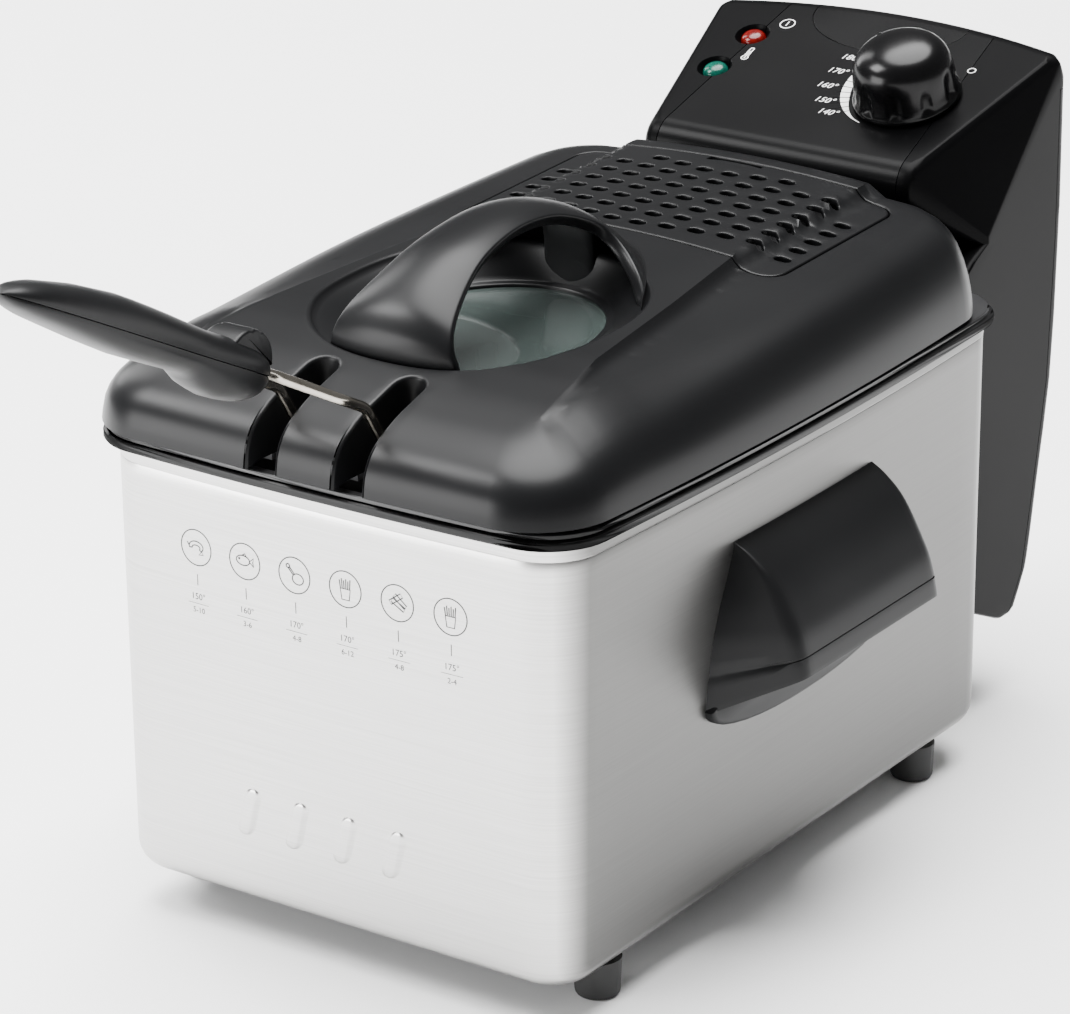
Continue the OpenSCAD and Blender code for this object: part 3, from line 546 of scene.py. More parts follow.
def make_rim():
    levels = [(197, -4), (197, 4), (197.3, 4.7), (198, 5), (199.8, 5), (200.5, 4.7), (200.8, 4), (200.8, -4)]
    mesh("rim_trim", loft([mouth_ring(*level) for level in levels]), TRIM_BLACK, "casing_body", "black_plastic",
         ["top_collar"], 50)


make_rim()


def pan_ring(z, a, b, r):
    return [(x, y, z) for x, y in rounded(a, b, r, [-60 + 10 * k for k in range(13)])]


def make_pan():
    flange = [(201, -4.6), (201, 2.9), (201.4, 3.4), (202.7, 3.4), (203, 2.9), (203, -5.6)]
    v1, f1 = loft([mouth_ring(*level) for level in flange])
    outer = [(40, 78.5, 129, 14), (41.9, 85.5, 136, 21), (47, 90.6, 141.1, 26), (54, 92.5, 143, 28),
             (200, 96.5, 147, 30), (202.9, 98.5, 149, 31), (203, 100, 150.5, 32)]
    inner = [(203, 99, 149.5, 31), (202.5, 96.4, 146.8, 29.8), (200, 95.3, 145.8, 29), (54, 91.3, 141.8, 27),
             (48, 89.4, 139.9, 25), (43.2, 84.3, 134.8, 20), (41.3, 77.3, 127.8, 14)]
    v2, f2 = loft([pan_ring(*r) for r in outer], cap_start=True)
    v3, f3 = loft([pan_ring(*r) for r in inner], cap_end=True)
    mesh("pan_skin", join((v1, f1), (v2, f2), (v3, f3)), COATING, "pan_body", "pan_coating", ["oil_pan"], 45)


make_pan()


# --- side handles

HOOD = [(111.5, 166.5), (118, 163), (126, 156.5), (132, 148.5), (137, 139.5), (140.5, 132), (143, 122.5), (144, 117.5)]
WALL_HALF = [(100, 68.2), (102, 68), (115, 67), (130, 64.4), (142, 60.5), (154, 55), (166, 50)]


def make_side_handle(name, side, node):
    outer = spline([(x, z, 0) for x, z in HOOD], 3)
    rows = []
    across = 30
    seam = next(k for k, p in enumerate(outer) if p.y < 125.5)
    hood = [(p.x, p.y, 0.0) for p in outer[:seam]]
    hood += [(142.35, 125.6, 0.0), (142.4, 125.4, 0.45), (142.45, 124.9, 0.45), (142.5, 124.7, 0.0)]
    hood += [(p.x, p.y, 0.0) for p in outer[seam:] if p.y < 124.2]
    for k, (xo, zo, inset) in enumerate(hood):
        share = k / (len(hood) - 1)
        drop = 0.5 * share ** 2
        corner = min(5.0, max(0.5, (xo - 109) * 0.2))
        half = 51 + 0.4 * sin(share * 2.6)
        xw = 106.5
        wall = interp(WALL_HALF, zo - drop * (xo - xw))
        xo, half, wall = xo - inset, half - inset, wall - inset
        path = eased([(xw, -wall), (xo, -half), (xo, half), (xw, wall)], corner, 5)
        body_pts = [path[0].lerp(path[1], t) for t in (0, 0.2, 0.4, 0.6, 0.8)] + path[1:7]
        body_pts += [path[6].lerp(path[7], t / across) for t in range(1, across)]
        body_pts += path[7:13] + [path[12].lerp(path[13], t) for t in (0.2, 0.4, 0.6, 0.8, 1.0)]
        rows.append([(side * q.x, q.y, zo - drop * (xo - q.x)) for q in body_pts])
    obj = mesh(name, loft(rows, closed=False), HANDLE_BLACK, "casing_body", "black_plastic", [node], 60)
    apply_modifier(obj, "SOLIDIFY", thickness=0.0032, offset=-1, use_even_offset=True)
    apply_modifier(obj, "BEVEL", width=0.0009, segments=3, limit_method="ANGLE", angle_limit=50 * DEG)
    # back plate on the wall, with its rounded tongue below the hood
    edge = [(54, 140), (60, 124), (64.6, 105)] + \
        [(67.2 * cos(t * DEG), 101.5 - 14.5 * sin(t * DEG) ** 0.9) for t in range(0, 181, 10)] + \
        [(-64.6, 105), (-60, 124), (-54, 140)]
    rings = []
    for lift, inset in ((-3, 0.0), (2.6, 0.0), (3.6, 0.4), (4.2, 1.4)):
        rings.append([(side * (side_x(y, z) + lift), y * (1 - inset / 68), z + (inset if z < 104 else 0))
                      for y, z in edge])
    mesh(name + "_plate", loft(rings, cap_start=True, cap_end=True), HANDLE_BLACK, "casing_body", "black_plastic", (),
         40)


make_side_handle("side_handle_r", 1, "side_handle_right")
make_side_handle("side_handle_l", -1, "side_handle_left")


# --- lid surface

LID_A, LID_FRONT, LID_REAR, LID_Z = 112.0, -169.0, 148.0, 205.0
LID_MID, LID_HALF = (LID_REAR + LID_FRONT) / 2, (LID_REAR - LID_FRONT) / 2
BAND = 30.0
SLOT_X, SLOT_HALF, SLOT_END = 20.0, 6.25, -131.3
SLOT_LIP = 1.6
CREASE_HALF = [(-141, 80.5), (-130, 80), (-105, 77), (-86, 72.5), (-22, 65), (34, 56.5), (125, 56.5), (150, 56.5)]
PLATEAU = [(-150, 229.6), (-141, 232.6), (-133, 235), (-125, 237), (-105, 240.4), (-86, 242.4), (-22, 244.7),
           (34, 246.3),
           (125, 248.9), (150, 249.4)]
DOME = [(-125, 0.0), (-86, 0.6), (-22, 1.4), (34, 2.6), (125, 2.6), (150, 2.0)]
STEP = [(-141, 0.0), (-128, 0.3), (-105, 2.2), (-86, 4.0), (-22, 5.0), (150, 5.0)]
FLANK = [(-141, 0.5), (-105, 0.3), (-86, 0.18), (-22, 0.1), (34, 0.085), (150, 0.085)]
STEP_W = 8.0
FRONT_PROFILE = [(0, 205), (0.4, 208.8), (1.2, 213), (2.6, 216.6), (4.8, 220), (7.6, 222.9), (10.8, 225.2), (15, 227.6),
                 (21, 230.3), (25.5, 232), (30, 233.3)]
SIDE_PROFILE = [(0, 205), (0.6, 211), (1.8, 216.5), (3.4, 221.3), (6, 226.8), (8.5, 230.6), (11, 233.2), (15, 235.9),
                (21, 238.1), (25.5, 238.9), (30, 239.3)]


def lid_height(x, y):
    """Height of the lid's top surface inside its rounded band."""
    ax = abs(x)
    half, base, drop = interp(CREASE_HALF, y), interp(PLATEAU, y), interp(STEP, y)
    if ax <= half:
        return base + interp(DOME, y) * (1 - (ax / half) ** 2)
    t = min(1.0, (ax - half) / STEP_W)
    soft = 1 - (1 - t) ** 2.4
    z = base - drop * soft
    if ax > half + STEP_W:
        z -= interp(FLANK, y) * (ax - half - STEP_W)
    elif drop < 1:
        z -= interp(FLANK, y) * (ax - half) * (1 - drop)
    return z


LID_XS = sorted(set([-SLOT_X - SLOT_HALF - SLOT_LIP, -SLOT_X + SLOT_HALF + SLOT_LIP, SLOT_X - SLOT_HALF - SLOT_LIP,
                     SLOT_X + SLOT_HALF + SLOT_LIP, -53, 53] + [-64 + 8 * k for k in range(17)]) - {-24, 24, -16, 16})


def lid_ring_plan(d):
    r = max(30 - 0.62 * d, 9)
    ring = bowed(LID_A - d, LID_HALF - 0.7 * d, r, 6.4, 2, LID_XS, 12, 28)
    return [(x, y + LID_MID + 0.3 * d) for x, y in ring]


def lid_band_height(d, y0, target):
    t = smooth((y0 + 150) / 175)
    f, s = interp(FRONT_PROFILE, d), interp(SIDE_PROFILE, d)
    z = f + (s - f) * t
    end = FRONT_PROFILE[-1][1] + (SIDE_PROFILE[-1][1] - FRONT_PROFILE[-1][1]) * t
    return LID_Z + (z - LID_Z) * (target - LID_Z) / (end - LID_Z)


def in_slot_x(x):
    return SLOT_X - SLOT_HALF - SLOT_LIP < abs(x) < SLOT_X + SLOT_HALF + SLOT_LIP


def lid_band():
    inner = lid_ring_plan(BAND)
    outer = lid_ring_plan(0)
    n = len(inner)
    targets = [lid_height(*p) for p in inner]
    rings = []
    for d, _ in FRONT_PROFILE:
        plan = lid_ring_plan(d)
        rings.append([(p[0], p[1], lid_band_height(d, o[1], t)) for p, o, t in zip(plan, outer, targets)])
    lip = lid_ring_plan(2.4)
    rings = [[(x, y, 210.0) for x, y in lip], [(x, y, LID_Z + 0.3) for x, y in lip],
             [(x, y, LID_Z) for x, y in lid_ring_plan(1.8)], [(x, y, LID_Z) for x, y in lid_ring_plan(0.5)],
             [(x, y, LID_Z + 0.4) for x, y in outer]] + rings[1:]
    verts, faces = [tuple(p) for r in rings for p in r], []
    for i in range(len(rings) - 1):
        for k in range(n):
            a, b = i * n + k, i * n + (k + 1) % n
            pa, pb = verts[a], verts[b]
            mid = (pa[0] + pb[0]) / 2
            if pa[1] < -120 and pb[1] < -120 and in_slot_x(mid):
                continue
            if pa[1] > 135 and abs(mid) < 53 and verts[a + n][2] < 233:
                continue
            faces.append((a, b, b + n, a + n))
    return verts, faces, inner


CREASE_OFFSETS = (-1.2, 0, 1.5, 4, STEP_W)  # edges kept along the crease, from its line outwards
DISH_Y, DISH_A, DISH_B, DISH_P = -57.0, 61.0, 62.0, 2.4
RIM_LIP = 1.8
COVER_A, COVER_Y0, COVER_Y1, COVER_R = 76.0, 33.4, 127.8, 9.0
GAP, EDGE = 0.35, 0.9


def cover_loop(d):
    cy, b = (COVER_Y0 + COVER_Y1) / 2, (COVER_Y1 - COVER_Y0) / 2
    half = [interp(CREASE_HALF, 80) + v for v in CREASE_OFFSETS]
    xs = sorted([-h for h in half] + half + [-48 + 8 * k for k in range(13)])
    return [(x, y + cy) for x, y in rounded(COVER_A + d, b + d, COVER_R + d, xs, 8, 20)]


def slot_path():
    """The right-hand slot's edge in plan, from its front left to its front right, with outward normals."""
    pts = []
    for y in (-141.0, -138, -135, SLOT_END):
        pts.append((-SLOT_HALF, y, -1, 0))
    for k in range(1, 12):
        t = (180 - 15 * k) * DEG
        pts.append((SLOT_HALF * cos(t), SLOT_END + SLOT_HALF * sin(t), cos(t), sin(t)))
    for y in (SLOT_END, -135, -138, -141.0):
        pts.append((SLOT_HALF, y, 1, 0))
    return pts


def dish_loop(d, n=96):
    return superellipse(DISH_A + d, DISH_B + d, DISH_P, n, DISH_Y)


def edge_strip(loop_of, height, outward, depth, lip):
    """Rounded edge and wall that go down from a plan loop; outward is the side the surface lies on."""
    steps = ((lip, 0.0), (lip * 0.62, 0.07 * lip), (lip * 0.3, 0.29 * lip), (lip * 0.08, 0.62 * lip), (0.0, lip),
             (0.0, depth))
    rings = []
    base = loop_of(outward * lip)
    for d, drop in steps:
        loop = loop_of(outward * d)
        rings.append([(x, y, height(bx, by) - drop) for (x, y), (bx, by) in zip(loop, base)])
    return loft(rings)


SLOT_STEPS = ((SLOT_LIP, 0), (SLOT_LIP * 0.6, 0.12), (SLOT_LIP * 0.28, 0.5), (SLOT_LIP * 0.07, 1.0), (0, SLOT_LIP),
              (0, None))  # how far out and how far down; None is the wall's foot
SLOT_FOOT = LID_Z + 1.5


def band_point(d, x):
    """Place along y and height of the front band at depth d."""
    def front(depth):
        return -(LID_HALF - 0.7 * depth) - 2 * (1 - (x / (LID_A - depth)) ** 2) + LID_MID + 0.3 * depth
    return front(d), lid_band_height(d, -171, lid_height(x, front(BAND)))


def slot_wall(mid):
    """Rounded edge and wall of one handle slot, up its left side and down its right."""
    def on_band(d, side, lip, drop):
        y, z = band_point(d, mid + side * (SLOT_HALF + SLOT_LIP))
        if drop is None:
            y, z = y + 0.1 + max(0, 7 - d), SLOT_FOOT
        else:
            y, z = y + (drop or SLOT_LIP) * max(0, 1 - d / 14), z - drop * min(1, d / 14)
        return (mid + side * (SLOT_HALF + lip), y, max(z, LID_Z + 0.3))

    def on_top(x, y, nx, ny, lip, drop):
        z = SLOT_FOOT if drop is None else lid_height(mid + x + nx * SLOT_LIP, y + ny * SLOT_LIP) - drop
        return (mid + x + nx * lip, y + ny * lip, z)

    depths = [d for d, _ in FRONT_PROFILE]
    rings = []
    for lip, drop in SLOT_STEPS:
        rings.append([on_band(d, -1, lip, drop) for d in depths]
                     + [on_top(*p, lip, drop) for p in slot_path()[1:-1]]
                     + [on_band(d, 1, lip, drop) for d in reversed(depths)])
    return loft(rings, closed=False)


def make_lid():
    bv, bf, inner = lid_band()
    outer = []
    slot_lip = SLOT_HALF + SLOT_LIP
    # the plan outline of the top, with the two slots cut into its front edge
    for p in inner:
        outer.append(p)
        for s in (-1, 1):
            if p[1] < -120 and abs(p[0] - (s * SLOT_X - slot_lip)) < 0.01:
                side = [(s * SLOT_X + x * slot_lip / SLOT_HALF if abs(ny) < 1e-9 else s * SLOT_X + nx * slot_lip,
                         y if abs(ny) < 1e-9 else SLOT_END + ny * slot_lip) for x, y, nx, ny in slot_path()][1:-1]
                outer.extend(side)
    holes = [dish_loop(RIM_LIP), cover_loop(GAP + EDGE)]
    lines = []
    for s in (-1, 1):
        for off in CREASE_OFFSETS:
            for y0, y1, count in ((-136, 32.0, 40), (129.5, 137, 2)):
                ys = [y0 + (y1 - y0) * k / count for k in range(count + 1)]
                line = [(s * (interp(CREASE_HALF, y) + off), y) for y in ys]
                line = [p for p in line if not inside(p, holes[0]) and inside(p, outer)]
                if len(line) > 1:
                    lines.append(line)
    box = (-118, -150, 118, 148)
    top = lifted(paving(outer, holes, lines, 4.0, box), lid_height)
    parts = [(bv, bf), top]
    parts.append(edge_strip(lambda d: cover_loop(GAP + d), lid_height, 1, 2.6, EDGE))
    parts += [slot_wall(s * SLOT_X) for s in (-1, 1)]
    mesh("lid_skin", join(*parts), LID_BLACK, "lid_body", "black_plastic", ["lid_shell"], 42)


make_lid()


def make_dish():
    def oval(a, b):
        return superellipse(a, b, 2, 96, DISH_Y + 0.5)

    base = [(x, y, lid_height(x, y)) for x, y in dish_loop(RIM_LIP)]
    rings = [base]
    for d, drop in ((1.15, 0.12), (0.55, 0.42), (0.1, 0.95), (-0.3, 1.7)):
        rings.append([(x, y, b[2] - drop) for (x, y), b in zip(dish_loop(d), base)])
    for t in (0.15, 0.3, 0.5, 0.7, 0.88, 1.0):
        plan = [(p[0] * (1 - t) + q[0] * t, p[1] * (1 - t) + q[1] * t) for p, q in zip(dish_loop(-0.3), oval(47, 59.2))]
        rings.append([(x, y, (b[2] - 1.7) + (233.0 - (b[2] - 1.7)) * (t ** 1.15)) for (x, y), b in zip(plan, base)])
    for a, b, z in ((46.2, 58.4, 232.5), (44.4, 56.9, 232.3), (43.7, 56.3, 231.9), (43.5, 56.1, 231.2),
                    (43.5, 56.1, 228.6)):
        rings.append([(x, y, z) for x, y in oval(a, b)])
    mesh("lid_dish", loft(rings), LID_BLACK, "lid_body", "black_plastic", (), 45)


make_dish()

ARCH_EDGE = [(30.5, -113.5, 231), (29.6, -114.6, 238.5), (28.4, -114.6, 243), (26.8, -112.5, 248), (24.5, -107, 253.6),
             (20.8, -95, 261), (17.2, -78, 269), (15.2, -57, 273.4), (15, -40, 274), (15.6, -24, 271.6),
             (18, -9, 265.8),
             (22, -2, 261.2), (30, -2.5, 255.2), (40, -9, 249.6), (50, -20, 245.9), (57.6, -34, 243.2)]
ARCH_MID = [(0, -116.5, 231), (0, -118.8, 238.5), (0, -118.6, 244.5), (0, -116.5, 250.5), (0, -111, 257.5),
            (0, -98.5, 265.5), (0, -80, 272.8), (0, -58, 276.6), (0, -41, 277.3), (0, -24.5, 275.6), (0, -9, 271.2),
            (0, 2.5, 265.3), (0, 11, 259.6), (0, 17.5, 254.9), (0, 23, 251.3), (0, 29, 249.0)]


def make_arch():
    edge, mid = spline(ARCH_EDGE, 3), spline(ARCH_MID, 3)
    half = 12
    rows = []
    rear_from = 33
    for k, (e, m) in enumerate(zip(edge, mid)):
        row = []
        back = smooth((k - rear_from) / (len(edge) - 1 - rear_from))
        for i in range(-half, half + 1):
            u = i / half
            x = e.x * u
            w = abs(u) ** (2.2 - 0.2 * back)
            y = m.y + (e.y - m.y) * w
            z = m.z + (e.z - m.z) * abs(u) ** (2.4 + 0.2 * back)
            if back > 0:
                z = z + (lid_height(x, y) - z) * back ** 4
            row.append((x, y, z))
        rows.append(row)
    obj = mesh("lid_arch", loft(rows, closed=False), LID_BLACK, "lid_body", "black_plastic", ["lid_handle"], 180)
    for p in obj.data.polygons:
        if p.normal.z < -0.2 and p.center.z > 0.25:
            obj.data.flip_normals()
            break
    apply_modifier(obj, "SOLIDIFY", thickness=0.0052, offset=-1, use_even_offset=False)
    apply_modifier(obj, "SUBSURF", levels=1, render_levels=2)
    # flat rib from the arch down to the window's rear
    rib = []
    for y, z, hw in ((5.6, 231.5, 12.4), (5.2, 240, 12.2), (4.6, 250, 12), (3.4, 258, 12.3), (0.5, 264, 13)):
        ring = superellipse(hw, 2.6, 5, 24, y)
        rib.append([(x, yy, z) for x, yy in ring])
    mesh("lid_rib", loft(rib, cap_start=True, cap_end=True), LID_BLACK, "lid_body", "black_plastic", (), 50)


make_arch()


def make_window():
    rings = []
    for s, z in ((1.0, 229.0), (1.0, 230.6), (0.97, 230.9), (0.8, 231.1), (0.5, 231.25), (0.2, 231.3)):
        rings.append([(x, y, z) for x, y in superellipse(44.6 * s, 57.2 * s, 2, 96, DISH_Y + 0.5)])
    mesh("window_pane", loft(rings, cap_start=True, cap_end=True), GLASS, "lid_body", "glass", ["window_glass"], 40)


make_window()


# --- filter cover

HOLE_X, HOLE_Y, HOLE_LONG, HOLE_R = 12.25, 11.4, 1.25, 2.45


def hole_loop(cx, cy, d=0.0):
    out = []
    for s, start in ((1, -90), (-1, 90)):
        for k in range(7):
            t = (start + 30 * k) * DEG
            out.append((cx + s * HOLE_LONG + (HOLE_R + d) * cos(t), cy + (HOLE_R + d) * sin(t)))
    return out


def hole_centres():
    """Ten columns of vent holes in slightly bent rows, and one row on each flank."""
    out = []
    for s in (-1, 1):
        for i in range(5):
            x = (i + 0.5) * HOLE_X
            out += [(s * x, 41.5 + 0.2 * x + j * HOLE_Y) for j in range(7) if 41.5 + 0.2 * x + j * HOLE_Y < 118]
        out += [(s * 67.4, 53.5 + j * HOLE_Y) for j in range(5)]
    return out


def make_filter_cover():
    centres = hole_centres()
    lip = 0.55
    holes = [hole_loop(x, y, lip) for x, y in centres]
    lines = []
    for s in (-1, 1):
        for off in (1.5, STEP_W):
            x = s * (56.5 + off)
            line = [(x, COVER_Y0 + 2 + k * 3.0) for k in range(31)]
            clear = []
            for p in line:
                if any(inside(p, offset_loop(h, 0.6)) for h in holes):
                    if len(clear) > 1:
                        lines.append(clear)
                    clear = []
                else:
                    clear.append(p)
            if len(clear) > 1:
                lines.append(clear)
    outer = cover_loop(-GAP - EDGE)
    gone = [k for k, p in enumerate(outer) if p[1] > 120 and abs(p[0]) <= 13.4]  # the finger notch
    rear = outer[gone[0]][1]
    notch = [(13.4, rear), (13.4, 122.6), (4.5, 122.3), (-4.5, 122.3), (-13.4, 122.6), (-13.4, rear)]
    cut = outer[:gone[0]] + notch + outer[gone[-1] + 1:]
    paved = lifted(paving(cut, holes, lines, 3.2, (-76, 32, 76, 130)), lid_height)
    parts = [paved]
    steps = ((0.0, 0.0), (0.35, 0.06), (0.65, 0.26), (0.85, 0.6), (0.9, 0.95), (0.9, 2.2))
    rings = []
    for out, drop in steps:
        loop = offset_loop(cut, out)
        rings.append([(x, y, lid_height(bx, by) - drop) for (x, y), (bx, by) in zip(loop, cut)])
    parts.append(loft(rings))
    for x, y in centres:
        rings = []
        base = hole_loop(x, y, lip)
        for d, drop in ((lip, 0.0), (lip * 0.5, 0.12), (lip * 0.1, 0.45), (0, 0.7), (0, 2.4)):
            rings.append([(px, py, lid_height(bx, by) - drop) for (px, py), (bx, by) in zip(hole_loop(x, y, d), base)])
        parts.append(loft(rings))
    mesh("filter_cover_skin", join(*parts), LID_BLACK, "filter_lid_body", "black_plastic", ["filter_cover"], 42)
    # finger tab in the notch at the rear
    rows = []
    for y, dz in ((122.9, -1.0), (123.6, -0.55), (125.4, -0.5), (126.6, -0.9), (127.2, -1.9)):
        rows.append([(x, y, lid_height(x, 124) + dz - 0.4 * (abs(x) > 11.6))
                     for x in (-12.4, -11.8, -6, 0, 6, 11.8, 12.4)])
    tab = mesh("filter_tab", loft(rows, closed=False), LID_BLACK, "filter_lid_body", "black_plastic", (), 40)
    apply_modifier(tab, "SOLIDIFY", thickness=0.0015, offset=-1)


make_filter_cover()


# --- control unit

TILT = 19.5 * DEG
PANEL_Y, PANEL_Z = 164.5, 252.3
RED_AT, GREEN_AT = (-55, 64.6), (-58.5, 38.1)


def on_panel(x, u, w=0.0):
    return (x, PANEL_Y + u * cos(TILT) - w * sin(TILT), PANEL_Z + u * sin(TILT) + w * cos(TILT))


def rear_y(x, z=250):
    table = [(36, 222), (54, 233), (91, 241), (137, 250), (200, 253.5), (270, 254)]
    return interp(table, z) + 10 * (1 - (x / 85) ** 2)


def ball(c, r, out, n=8):
    for i in range(n + 1):
        t = pi * i / n
        for k in range(2 * n):
            p = pi * k / n
            out.append((c[0] + r * sin(t) * cos(p), c[1] + r * sin(t) * sin(p), c[2] + r * cos(t)))


def head_points():
    pts = []
    for s in (-1, 1):
        for x, r in ((61.5, 12), (63.6, 11.6), (65.2, 10.6), (66.0, 9.0)):
            for k in range(40):
                t = 2 * pi * k / 40
                pts.append((s * x, 167 + r * cos(t), 240.5 + r * sin(t)))
        ball(on_panel(s * 64.4, 3.5, -1.6), 1.6, pts)
        ball(on_panel(s * 79.8, 81.2, -3.0), 3.0, pts)
        ball(on_panel(s * 80.4, 84.5, -5.6), 4.4, pts)
        ball((s * 82.6, 188.6, 216.4), 2.4, pts)
        ball((s * 79.0, 247.6, on_panel(0, (247.6 - 164.5) / cos(TILT), 0)[2] - 11.0), 6.0, pts)
        ball((s * 79.0, 248.0, 222.0), 6.0, pts)
        for k in range(7):
            t = 15 * k * DEG
            pts.append((s * (79 + 6 * cos(t)), 248.0 + 6 * sin(t), 213.0))
        for k in range(5):
            t = 22.5 * k * DEG
            pts.append((s * (82.6 + 2.4 * cos(t)), 189.0 - 2.4 * sin(t), 213.0))
    rho = 9.0
    for i in range(-26, 27):
        x = i * 3.05
        yc = rear_y(x) - rho
        zc = PANEL_Z + (-rho + sin(TILT) * (yc - PANEL_Y)) / cos(TILT)
        for k in range(13):
            t = (10 * k) * DEG
            pts.append((x, yc + rho * cos(t), zc + rho * sin(t)))
        pts.append((x, rear_y(x, 213), 213.0))
    return pts


def hull_object(name, pts):
    data = bpy.data.meshes.new(name)
    bm = bmesh.new()
    for p in pts:
        bm.verts.new(tuple(c * MM for c in p))
    bmesh.ops.convex_hull(bm, input=bm.verts)
    loose = [v for v in bm.verts if not v.link_faces]
    bmesh.ops.delete(bm, geom=loose, context="VERTS")
    bmesh.ops.remove_doubles(bm, verts=bm.verts, dist=0.00005)
    bmesh.ops.dissolve_limit(bm, angle_limit=0.3 * DEG, verts=bm.verts, edges=bm.edges)
    bmesh.ops.recalc_face_normals(bm, faces=bm.faces)
    bm.to_mesh(data)
    bm.free()
    return linked(name, data)


def tower_object():
    rings = []
    rows = [(36.4, 211, 220.5, 2.2), (37.4, 207, 222, 0.6), (39.5, 202.5, 224, 0), (46, 188.5, 228.3, 0),
            (54, 171.5, 233, 0),
            (57, 165.6, 234, 0), (60, 164.6, 234.8, 0), (70, 164.5, 237, 0), (91, 164.5, 241, 0), (115, 164.5, 246, 0),
            (137, 164.5, 250, 0), (165, 164.5, 252.2, 0), (198, 164.5, 253.4, 0), (202, 165.8, 253.5, 0),
            (209, 176, 253.7, 0),
            (214, 186.4, 253.9, 0)]
    for z, yf, yr, inset in rows:
        a = 85 - inset
        ring = []
        for k in range(5):
            t = (-90 + 22.5 * k) * DEG
            ring.append((a - 2.5 + 2.5 * cos(t), yf + 2.5 + 2.5 * sin(t), z))
        for k in range(1, 6):
            ring.append((a, yf + 2.5 + (yr - 6 - yf - 2.5) * k / 6, z))
        for k in range(7):
            t = 15 * k * DEG
            ring.append((a - 6 + 6 * cos(t), yr - 6 + 6 * sin(t), z))
        right = list(ring)
        rear = [(x, yr + 10 * (1 - (x / 85) ** 2) - 1.36 * (abs(x) / 79) ** 6, z)
                for x in (a - 12 - (2 * a - 24) * k / 16 for k in range(17))]
        front = [(x, yf, z) for x in (-60, -30, 0, 30, 60)]
        ring += rear + [(-x, y, zz) for x, y, zz in reversed(right)] + front
        rings.append(ring)
    return solid("tower", *loft(rings, cap_start=True, cap_end=True), merge=False)


def prism_object(name, plan, place_of, low, high):
    """Closed prism: plan points and two levels, put in place by place_of(a, b, level)."""
    rings = [[place_of(a, b, low) for a, b in plan], [place_of(a, b, high) for a, b in plan]]
    return solid(name, *loft(rings, cap_start=True, cap_end=True), merge=False)


def boolean(target, cutter, operation):
    """Cut the target with the cutter, which is used up."""
    mod = target.modifiers.new("cut", "BOOLEAN")
    mod.operation, mod.solver, mod.object = operation, "EXACT", cutter
    bpy.context.view_layer.update()
    baked = bpy.data.meshes.new_from_object(target.evaluated_get(bpy.context.evaluated_depsgraph_get()))
    target.modifiers.clear()
    target.data = baked
    bpy.data.objects.remove(cutter)


def copy_of(obj, name):
    return linked(name, obj.data.copy())


def finish_solid(obj, look, body, slot, replaced, bevel=0.0005, angle=32):
    obj.data.materials.clear()
    obj.data.materials.append(look)
    bm = bmesh.new()
    bm.from_mesh(obj.data)
    bmesh.ops.remove_doubles(bm, verts=bm.verts, dist=0.00002)
    sharpen(bm, 179)
    bm.to_mesh(obj.data)
    bm.free()
    apply_modifier(obj, "BEVEL", width=bevel, segments=2, limit_method="ANGLE", angle_limit=angle * DEG,
                   harden_normals=False)
    apply_modifier(obj, "WEIGHTED_NORMAL", keep_sharp=True, weight=60)
    place(obj, body, slot, replaced)


def make_control_unit():
    head = hull_object("housing_head", head_points())
    boolean(head, tower_object(), "UNION")

    def wedge(g):
        return prism_object("wedge", [(-59.6 - g, 148), (59.6 + g, 148), (48.2 + g, 275), (-48.2 - g, 275)],
                            lambda a, b, level: (a, b, level), 229 - g, 300)

    def badge(g, low):
        plan = [(x, y) for x, y in superellipse(37.3 + g, 24 + g, 2, 64, 91)]
        return prism_object("badge", plan, on_panel, low, 20)

    def rear(g):
        outline = [(214 - g, 20), (214 - g, 36), (225.5 - g, 54), (233.5 - g, 91), (242.5 - g, 137), (246.2 - g, 200),
                   (246.6 - g, 266 + g), (300, 266 + g), (300, 20)]
        return prism_object("rear", outline, lambda a, b, level: (level, a, b), -100, 100)

    def recess(x, u):
        profile = [(0, -5.5), (5.7, -5.5), (5.7, -3.4), (7.4, -0.4), (8.0, 0.3), (8.0, 4), (0, 4)]
        return solid("cone", *lathe(profile, lambda a, b, h: on_panel(x + a, u + b, h), 48))

    panel = copy_of(head, "control_panel_skin")
    rear_piece = copy_of(head, "rear_cover_skin")
    boolean(panel, wedge(-0.2), "INTERSECT")
    boolean(head, wedge(0.2), "DIFFERENCE")
    boolean(panel, rear(0.2), "DIFFERENCE")
    boolean(head, rear(0.2), "DIFFERENCE")
    boolean(rear_piece, rear(-0.2), "INTERSECT")
    plate = copy_of(panel, "panel_badge_skin")
    boolean(plate, badge(-0.22, -1.4), "INTERSECT")
    boolean(panel, badge(0.12, -1.3), "DIFFERENCE")
    for place_at in (RED_AT, GREEN_AT):
        for target in (head, panel):
            boolean(target, recess(*place_at), "DIFFERENCE")
    finish_solid(head, HOUSING_BLACK, "control_unit", "black_plastic", ["control_housing"])
    finish_solid(panel, PANEL_BLACK, "control_unit", "black_plastic", ["control_panel"])
    finish_solid(plate, BADGE_BLACK, "control_unit", "gloss_plastic", ["panel_badge"], 0.0003)
    finish_solid(rear_piece, HOUSING_BLACK, "control_unit", "black_plastic", ["rear_cover"])


make_control_unit()

KNOB_X, KNOB_U = 36.7, 39.9


